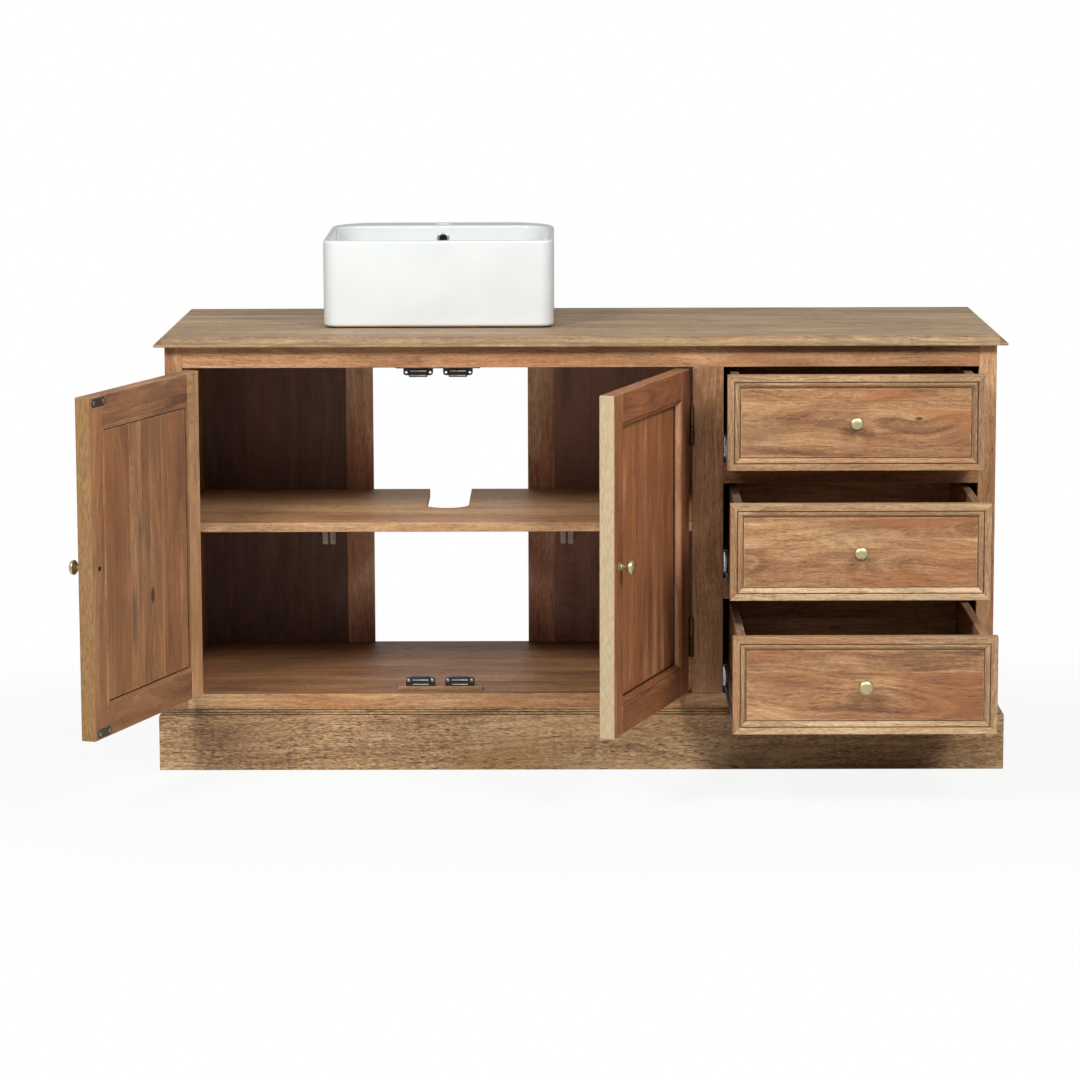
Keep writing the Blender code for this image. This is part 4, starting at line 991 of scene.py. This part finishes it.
def makeDrawer(name, d, b):
    low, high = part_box(name + "_front")
    mesh, seed, trim = newMesh(), d["seed"], d["trimTint"]
    seeds = [seed + 0.19 * step for step in range(4)]
    # painted highlight: the bottom border is tinted paler, where its bead faces up into the light
    tints = (trim, trim + b["sillTint"], trim, trim)
    addBorder(mesh, borderProfile(high.y - low.y, b), low, high, -1, seeds, tints)
    makePiece(name + "_border", mesh, trimWood, name, [name + "_front"], smoothAngle=40)
    mesh = newMesh()
    edge = b["bead"] + b["line"]
    seamZ = low.z + (high.z - low.z) * b["seam"]
    face, back = low.y + b["recess"], high.y
    spans = ((low.z + edge, seamZ, d["tints"][0]), (seamZ, high.z - edge, d["tints"][1]))
    for step, (start, end, tint) in enumerate(spans):
        first, second = (low.x + edge, face, start), (high.x - edge, back, end)
        own, knot = seed + 0.83 + 0.31 * step, d["knots"].get(step, noKnot)
        old = set(mesh.verts)
        addBoard(mesh, first, second, 0, own, tint, 0.0, b["fieldRounding"], knot)
        # each field runs paler at its left end and darker at its right
        tints = (tint + d["lean"], tint - d["lean"])
        fadeTint(mesh, 0, (low.x, high.x), tints, lambda vert: vert not in old)
    # painted shade: the core behind the field is tinted darkest, showing as a dark gap round it
    lap, sunk, short = b["core"]
    inset = b["bead"] - lap
    first = (low.x + inset, face + sunk, low.z + inset)
    addBoard(mesh, first, (high.x - inset, back - short, high.z - inset), 0, seed + 0.57, b["coreShadeTint"])
    makePiece(name + "_field", mesh, frontWood, name)
    makeKnob(name + "_knob", name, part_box(name + "_knob"))
    # the box behind: two sides, front, back, and a floor let into them
    low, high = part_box(name + "_box")
    wall, floor = b["wall"], b["bottom"]
    mesh = newMesh()
    addBoard(mesh, low, (low.x + wall, high.y, high.z), 1, seed + 0.33, b["wallTint"])
    addBoard(mesh, (high.x - wall, low.y, low.z), high, 1, seed + 0.47, b["wallTint"])
    for y, step in ((low.y, 0.71), (high.y - wall, 0.91)):
        first, second = (low.x + wall, y, low.z), (high.x - wall, y + wall, high.z - b["endDrop"])
        addBoard(mesh, first, second, 0, seed + step, b["endTint"])
    first = (low.x + wall, low.y + wall, low.z + b["bottomLift"])
    second = (high.x - wall, high.y - wall, low.z + floor)
    addBoard(mesh, first, second, 0, seed + 0.77, b["bottomTint"], 0.0, b["fieldRounding"])
    makePiece(name + "_carcase", mesh, boxWood, name, [name + "_box"])


for name, settings in drawers.items():
    makeDrawer(name, settings, drawerBuild)
print("drawers")

runner = {
    "metal": 0.0015, "curl": 0.0022, "screws": (0.10, 0.42, 0.80), "screw": (0.0042, 0.0018),
    "slots": (0.18, 0.55, 0.90), "slotFace": (-0.0002, 0.0007),
    "slotRings": ((0.010, 0.0035, 0.0034), (0.0075, 0.0014, 0.0013)),  # half length, half height, corner
    "stop": (0.0017, 0.0083), "stopIn": 0.0043, "stopDeep": 0.005, "stopRounding": 0.0008, "stopSeed": 7.1,
    "ribIn": 0.006, "ribHalf": 0.001, "ribSide": 0.0004, "ribDeep": 0.006, "ribRounding": 0.0003,
    "ribSeed": 7.2,
}


def makeRunner(node, body, r, webLeft):
    low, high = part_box(node)
    metal, curl = r["metal"], r["curl"]
    reach, tall = high.x - low.x, high.z - low.z
    outer = [(reach, 0.0), *arcOf((curl, curl), (curl, curl), 270, 180, 4)]
    outer += [*arcOf((curl, tall - curl), (curl, curl), 180, 90, 4), (reach, tall)]
    bend = curl - metal
    inner = [(reach, tall - metal), *arcOf((curl, tall - curl), (bend, bend), 90, 180, 3)]
    inner += [*arcOf((curl, curl), (bend, bend), 180, 270, 3), (reach, metal)]
    mesh, screws = newMesh(), newMesh()
    flip = 1 if webLeft else -1
    base = low.x if webLeft else high.x
    place = Matrix(((flip, 0, 0, base), (0, 0, 1, 0), (0, 1, 0, low.z), (0, 0, 0, 1)))
    addPlate(mesh, [outer + inner], low.y, high.y, place)

    def spotAt(share):
        y = low.y + (high.y - low.y) * share
        return Matrix.Translation((base + flip * metal, y, (low.z + high.z) / 2))

    turn = Matrix.Rotation(flip * math.pi / 2, 4, "Y")
    for share in r["screws"]:
        addScrew(screws, spotAt(share) @ turn, *r["screw"])
    flat = Matrix(((0, 0, flip, 0), (1, 0, 0, 0), (0, 1, 0, 0), (0, 0, 0, 1)))
    rings = [roundedBox((-u, -v), (u, v), corner, 5) for u, v, corner in r["slotRings"]]
    for share in r["slots"]:
        addPlate(mesh, rings, *r["slotFace"], spotAt(share) @ flat)
    makePiece("channel_" + node, mesh, zincSteel, body, [node])
    makePiece("screws_" + node, screws, darkSteel, body)


def makeStop(node, r, webLeft):  # plated end stop in the mouth of a cabinet channel
    low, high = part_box(node)
    near, far = r["stop"]
    start, end = (low.x + near, low.x + far) if webLeft else (high.x - far, high.x - near)
    mesh = newMesh()
    under, over, deep = low.z + r["stopIn"], high.z - r["stopIn"], low.y + r["stopDeep"]
    first, second = (start, low.y, under), (end, deep, over)
    addBoard(mesh, first, second, 2, r["stopSeed"], 0.5, 0.0, r["stopRounding"])
    side, half = r["ribSide"], r["ribHalf"]
    for z in (under + r["ribIn"], over - r["ribIn"]):
        first, second = (start + side, low.y + half, z - half), (end - side, deep + r["ribDeep"], z + half)
        addBoard(mesh, first, second, 1, r["ribSeed"], 0.5, 0.0, r["ribRounding"])
    makePiece("stop_" + node, mesh, chrome, "carcass")


for name in drawers:
    for side in ("left", "right"):
        makeStop(f"{name}_cabinet_runner_{side}", runner, side == "left")
        makeRunner(f"{name}_cabinet_runner_{side}", "carcass", runner, side == "left")
        makeRunner(f"{name}_runner_{side}", name, runner, side == "right")
print("runners")

catch = {
    "batten": 0.008, "battenLap": 0.022, "hangDrop": 0.0048, "clear": 0.0018, "spacing": 0.075, "seed": 7.3,
    "width": 0.056, "depth": 0.020, "height": 0.0165, "rounding": 0.0014, "bodyBack": 0.0004,
    "earWidth": 0.0105, "earRound": 0.0054, "earHole": 0.0024, "earBack": 0.0016, "earDepth": 0.005,
    "earLift": 0.0005, "earRoot": 0.0015, "screw": (0.0036, 0.0013),
    "pole": 0.0024, "poleOut": 0.0015, "poleIn": 0.002, "poleDeep": 0.6, "poleRounding": 0.0005,
    "poleGap": 0.0086, "poleDrop": 0.0006, "poleSeed": 7.9,
}


def makeCatches(c, node, battenLook, hangs):
    low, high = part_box(node)
    low.y += c["clear"]  # room for the strike plates of a shut door
    middle = (low.x + high.x) / 2
    batten, bodies, poles, screws = newMesh(), newMesh(), newMesh(), newMesh()
    if hangs:
        battenLow = high.z - c["hangDrop"] - c["battenLap"]
        addBoard(batten, (low.x, low.y, battenLow), high, 0, c["seed"])
        span = (battenLow - c["height"], battenLow)
    else:
        addBoard(batten, low, (high.x, high.y, low.z + c["batten"]), 0, c["seed"] + 0.4)
        span = (low.z + c["batten"], low.z + c["batten"] + c["height"])
    front = low.y + c["poleOut"]
    level = (span[0] + span[1]) / 2
    half, ear, bend = c["width"] / 2, c["earWidth"], c["earRound"]
    earFront, thin = front + c["earBack"], c["pole"] / 2
    centres = [middle + side * c["spacing"] / 2 for side in (-1, 1)]
    for x in centres:
        left, right = x - half + ear, x + half - ear
        for u in (-1, 1):  # an ear runs from the batten to a round end
            base, z, way = (span[1], level + c["earLift"], -1) if hangs else (span[0], span[1] - bend, 1)
            centre = (x + u * (half - bend), z)
            root = x + u * (half - ear - c["earRoot"])
            outline = [(root, base), (root, z + way * bend)]
            outline += arcOf(centre, (u * bend, way * bend), 90, 0, 8)
            outline += [(centre[0] + u * bend, base)]
            hole = circle(centre, c["earHole"], 16)
            addPlate(bodies, [outline, hole], earFront, earFront + c["earDepth"], toWall)
            if not hangs:
                spot = (centre[0], earFront, centre[1])
                addScrew(screws, Matrix.Translation(spot) @ toFront, *c["screw"])
        for way in (-1, 1):
            z = level + way * c["poleGap"] / 2 - c["poleDrop"]
            first = (left + c["poleIn"], low.y, z - thin)
            second = (right - c["poleIn"], low.y + c["depth"] * c["poleDeep"], z + thin)
            addBoard(poles, first, second, 0, c["poleSeed"], 0.5, 0.0, c["poleRounding"])
    for x in centres:
        left, right = x - half + ear, x + half - ear
        first, second = (left, front + c["bodyBack"], span[0]), (right, low.y + c["depth"], span[1])
        addBoard(bodies, first, second, 0, c["seed"], 0.5, 0.0, c["rounding"])
    makePiece(node + "_batten", batten, battenLook, "carcass")
    makePiece(node + "_bodies", bodies, blackPlastic, "carcass", [node])
    makePiece(node + "_poles", poles, zincSteel, "carcass")
    if not hangs:
        makePiece(node + "_screws", screws, zincSteel, "carcass")


makeCatches(catch, "catch_pair_upper", innerWood, True)
makeCatches(catch, "catch_pair_lower", shelfWood, False)

bracket = {
    "metal": 0.004, "slot": 0.0045, "corner": 0.003, "lift": 0.004, "eye": (0.022, 0.026, 0.008),
    "screw": (0.0032, 0.0012), "screwUp": 0.011,
}


def makeBracket(b, node):
    low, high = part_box(node)
    metal, corner = b["metal"], b["corner"]
    mesh, screws = newMesh(), newMesh()
    flange = roundedBox((low.x, low.y), (high.x, high.y), corner, 4)
    addPlate(mesh, [flange], high.z - metal, high.z)
    inY, inZ, tip = high.y - metal / 2, high.z - metal / 2, low.y + corner
    rib = [(inY, low.z + b["lift"]), (inY, inZ), (tip, inZ), (tip, high.z - metal - corner)]
    eyeIn, eyeDown, eyeRadius = b["eye"]
    eye = circle((high.y - eyeIn, high.z - eyeDown), eyeRadius, 16)
    prong = (low.x + high.x) / 2 - b["slot"] / 2 - low.x
    for x in (low.x, high.x - prong):
        addPlate(mesh, [rib, eye], x, x + prong, toX)
        foot = roundedBox((x, low.z), (x + prong, inZ), corner, 4)
        addPlate(mesh, [foot], high.y - metal, high.y, toWall)
        spot = (x + prong / 2, high.y - metal, low.z + b["screwUp"])
        addScrew(screws, Matrix.Translation(spot) @ toFront, *b["screw"])
    makePiece("moulded_" + node, mesh, palePlastic, "carcass", [node])
    makePiece("screws_" + node, screws, zincSteel, "carcass")


for node in ("shelf_bracket_left", "shelf_bracket_right"):
    makeBracket(bracket, node)
print("catches and brackets")

basin = {
    "front": 0.030, "back": 0.095, "wall": 0.012, "deck": 0.075, "floor": 0.030, "rise": 0.008,
    "footRound": 0.006, "footIn": 0.020, "footHeight": 0.0020, "lip": 0.0050, "innerLip": 0.0042,
    "bowlRound": 0.015, "bowlFront": 0.018, "bowlBack": 0.060, "steps": 14, "seed": 8.1,
    "waste": 0.023, "tap": 0.0175, "overflow": 0.011, "overflowDown": 0.026, "overflowDeep": 0.048,
    "ringOut": 0.0128, "ringIn": 0.0078, "ringDeep": 0.004, "ringFace": 0.0008, "ringBulge": 0.0016,
    "ringSteps": 36, "shadeSleeve": (0.0045, 0.012), "shadeSleeveWall": 0.0012,
}


def makeBasin(b):
    low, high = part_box("basin")
    bowlBack = high.y - b["deck"]
    height = high.z - low.z - b["rise"]

    def rimAt(y):
        return low.z + height + b["rise"] * (y - low.y) / (high.y - low.y)

    def raised(points, z, drop):  # drop is from the sloping rim
        return [(x, y, z if drop is None else rimAt(y) - drop) for x, y in points]

    def outerRing(inset, z, drop=None):
        near, far = (low.x + inset, low.y + inset), (high.x - inset, high.y - inset)
        points = roundedBox(near, far, b["front"] - inset, b["steps"], b["back"] - inset)
        return raised(points, z, drop)

    def bowlRing(inset, z, drop=None):
        wall = b["wall"] + inset
        near, far = (low.x + wall, low.y + wall), (high.x - wall, bowlBack - inset)
        points = roundedBox(near, far, b["bowlFront"] - inset, b["steps"], b["bowlBack"] - inset)
        return raised(points, z, drop)

    base = low.z + b["footHeight"]
    rings = [outerRing(b["footIn"], low.z), outerRing(b["footIn"], base)]
    r = b["footRound"]
    rings += [outerRing(r - r * rise, base + r - r * fall) for rise, fall in quarter(5)]
    r = b["lip"]
    rings += [outerRing(r - r * fall, 0.0, r - r * rise) for rise, fall in quarter(5)]
    outerCount = len(rings)
    r = b["innerLip"]
    rings += [bowlRing(-r + r * rise, 0.0, r - r * fall) for rise, fall in quarter(5)]
    wallRow = len(rings) - 1
    floorZ, r = low.z + b["floor"], b["bowlRound"]
    rings += [bowlRing(r - r * fall, floorZ + r - r * rise) for rise, fall in quarter(7)]
    mesh = newMesh()
    rows = [[mesh.verts.new(point) for point in ring] for ring in rings]
    count = len(rows[0])
    wallFace = None
    for index, (first, second) in enumerate(zip(rows, rows[1:])):
        if index == outerCount - 1:
            continue
        for i in range(count):
            corners = (first[i - 1], first[i], second[i], second[i - 1])
            backWall = index == wallRow and min(v.co.y for v in corners) > bowlBack - 0.0005
            wide = abs(corners[0].co.x - corners[1].co.x) > b["ringOut"] * 4
            if backWall and wide:
                wallFace = list(corners)  # filled below, round the overflow
            else:
                mesh.faces.new(corners)

    def holeLoop(points):
        return [mesh.verts.new(point) for point in points]

    x, tapY, wasteY = basinCentre["x"], basinCentre["tapY"], basinCentre["wasteY"]
    tapRound, wasteRound = circle((x, tapY), b["tap"], 32), circle((x, wasteY), b["waste"], 32)
    tapTop = holeLoop([(u, v, rimAt(v)) for u, v in tapRound])
    tapUnder = holeLoop([(u, v, low.z) for u, v in tapRound])
    wasteTop = holeLoop([(u, v, floorZ) for u, v in wasteRound])
    wasteUnder = holeLoop([(u, v, low.z) for u, v in wasteRound])
    overflowZ = rimAt(bowlBack) - b["overflowDown"]
    ringRound = circle((x, overflowZ), b["overflow"], 24)
    overflowFace = holeLoop([(u, bowlBack, v) for u, v in ringRound])
    overflowEnd = holeLoop([(u, bowlBack + b["overflowDeep"], v) for u, v in ringRound])
    fills = (
        (rows[outerCount - 1], rows[outerCount], tapTop), (rows[-1], wasteTop),
        (rows[0], tapUnder, wasteUnder), (wallFace, overflowFace),
    )
    for loops in fills:
        fill(mesh, [edge for loop in loops for edge in loopEdges(mesh, loop)])
    for first, second in ((tapTop, tapUnder), (wasteTop, wasteUnder), (overflowFace, overflowEnd)):
        skin(mesh, first, second)
    mesh.faces.new(overflowEnd)
    stamp(mesh, set(), (low + high) / 2, (high - low) / 2, (0, 1, 2), (b["seed"], 0.5, 0.0))
    makePiece("basin_vessel", mesh, whiteGlaze, "carcass", ["basin"], smoothAngle=40)
    mesh = newMesh()
    out, inside, deep = b["ringOut"], b["ringIn"], -b["ringDeep"]
    bulge = arcOf(((out + inside) / 2, b["ringFace"]), ((out - inside) / 2, b["ringBulge"]), 180, 0, 8)
    hub = Matrix.Translation((x, bowlBack, overflowZ)) @ toFront
    addLathe(mesh, [(inside, deep), *bulge, (out, 0.0), (inside, deep)], b["ringSteps"], hub)
    makePiece("basin_overflow_ring", mesh, chrome, "carcass", smoothAngle=60)
    # painted shade: a black sleeve in the overflow hole, standing for the shadow inside it
    mesh = newMesh()
    start, end = (-depth for depth in b["shadeSleeve"])
    outer, under = inside + b["shadeSleeveWall"], end - b["shadeSleeveWall"]
    profile = [(0.0, end), (inside, end), (inside, start), (outer, start), (outer, under), (0.0, under)]
    addLathe(mesh, profile, b["ringSteps"], hub)
    makePiece("basin_overflow_shade_sleeve", mesh, blackPlastic, "carcass", smoothAngle=60)


makeBasin(basin)
print("basin")

studio = {
    "place": (-0.0226, -7.2593, 1.5391), "yaw": -0.4287, "pitch": 8.6102, "roll": -0.1916, "lens": 129.708,
    "ambient": 0.13, "ambientColour": "e2ecff", "surround": 0.4, "floorSize": 16.0,
    "floorColour": "dddbd7", "floorGlow": (0.90, 1.0), "fade": (0.7, 1.6), "fadeAcross": 0.4,
    "matt": ("backBox",),  # lights the back without a shine on the worktop
    "lamps": {  # place, aim, size and power
        "leftBox": ((-2.4, -3.2, 3.6), (-0.2, 0.0, 0.45), (1.2, 1.2), 168.0),
        "rightBox": ((2.4, -3.2, 3.6), (0.2, 0.0, 0.45), (1.2, 1.2), 140.0),
        "frontBox": ((0.0, -4.4, 3.9), (0.0, 0.2, 0.45), (1.8, 1.2), 45.0),
        "backBox": ((-0.6, 4.6, 2.6), (0.0, 0.5, 0.50), (2.6, 1.6), 55.0),
    },
}


def seenDirectly(s):  # rays that should meet the white backdrop
    kinds = ("Is Camera Ray", "Is Glossy Ray", "Is Transmission Ray")
    camera, glossy, through = Flow.node("LightPath", {}, {}, kinds)
    return (camera + glossy * s["surround"] + through).maths("MINIMUM", 1.0)


def makeStudio(s):
    scene = bpy.context.scene
    scene.view_settings.view_transform = "Standard"
    camera = bpy.data.objects.new("camera", bpy.data.cameras.new("camera"))
    scene.collection.objects.link(camera)
    yaw, pitch, roll = (math.radians(s[key]) for key in ("yaw", "pitch", "roll"))
    level = math.cos(pitch)
    ahead = Vector((math.sin(yaw) * level, math.cos(yaw) * level, -math.sin(pitch)))
    right = Vector((math.cos(yaw), -math.sin(yaw), 0.0))
    up = right.cross(ahead)
    across = right * math.cos(roll) + up * math.sin(roll)
    upright = up * math.cos(roll) - right * math.sin(roll)
    turn = Matrix((across, upright, -ahead)).transposed().to_4x4()
    camera.matrix_world = Matrix.Translation(s["place"]) @ turn
    camera.data.lens, camera.data.sensor_width = s["lens"], 36.0
    camera.data.clip_end = 100.0
    scene.camera = camera
    for name, (place, aim, size, power) in s["lamps"].items():
        data = bpy.data.lights.new(name, "AREA")
        data.shape = "RECTANGLE"
        data.size, data.size_y = size
        data.energy = power
        light = bpy.data.objects.new(name, data)
        light.location = place
        light.rotation_euler = (Vector(aim) - Vector(place)).to_track_quat("-Z", "Y").to_euler()
        light.visible_glossy = name not in s["matt"]
        scene.collection.objects.link(light)
    scene.world = bpy.data.worlds.new("studio")
    scene.world.use_nodes = True
    scene.world.node_tree.nodes.clear()
    Flow.tree = scene.world.node_tree
    white = Flow.node("Background", {}, {"Color": (1.0, 1.0, 1.0, 1.0), "Strength": 1.0})
    dim = Flow.node("Background", {}, {"Color": colour(s["ambientColour"]), "Strength": s["ambient"]})
    shown = Flow.node("MixShader", {}, {0: seenDirectly(s), 1: dim, 2: white})
    Flow.node("OutputWorld", {}, {"Surface": shown})
    floorLook = newLook("paleFloor")
    plain = Flow.node("BsdfDiffuse", {}, {"Color": colour(s["floorColour"])})
    glow = Flow.node("Emission", {}, {"Color": (1.0, 1.0, 1.0, 1.0), "Strength": 1.0})
    x, y, _ = split(Flow.node("NewGeometry", {}, {}, "Position"))
    # the object's shadow stays, the far floor goes white
    away = (x * x * s["fadeAcross"] + y * y).maths("SQRT")
    low, high = s["floorGlow"]
    share = seenDirectly(s) * (low + ease(away, *s["fade"]) * (high - low))
    shown = Flow.node("MixShader", {}, {0: share, 1: plain, 2: glow})
    Flow.node("OutputMaterial", {}, {"Surface": shown})
    mesh = bmesh.new()
    bmesh.ops.create_grid(mesh, x_segments=1, y_segments=1, size=s["floorSize"])
    data = bpy.data.meshes.new("floor")
    mesh.to_mesh(data)
    mesh.free()
    data.materials.append(floorLook)
    floor = bpy.data.objects.new("floor", data)
    scene.collection.objects.link(floor)


makeStudio(studio)
print("studio")
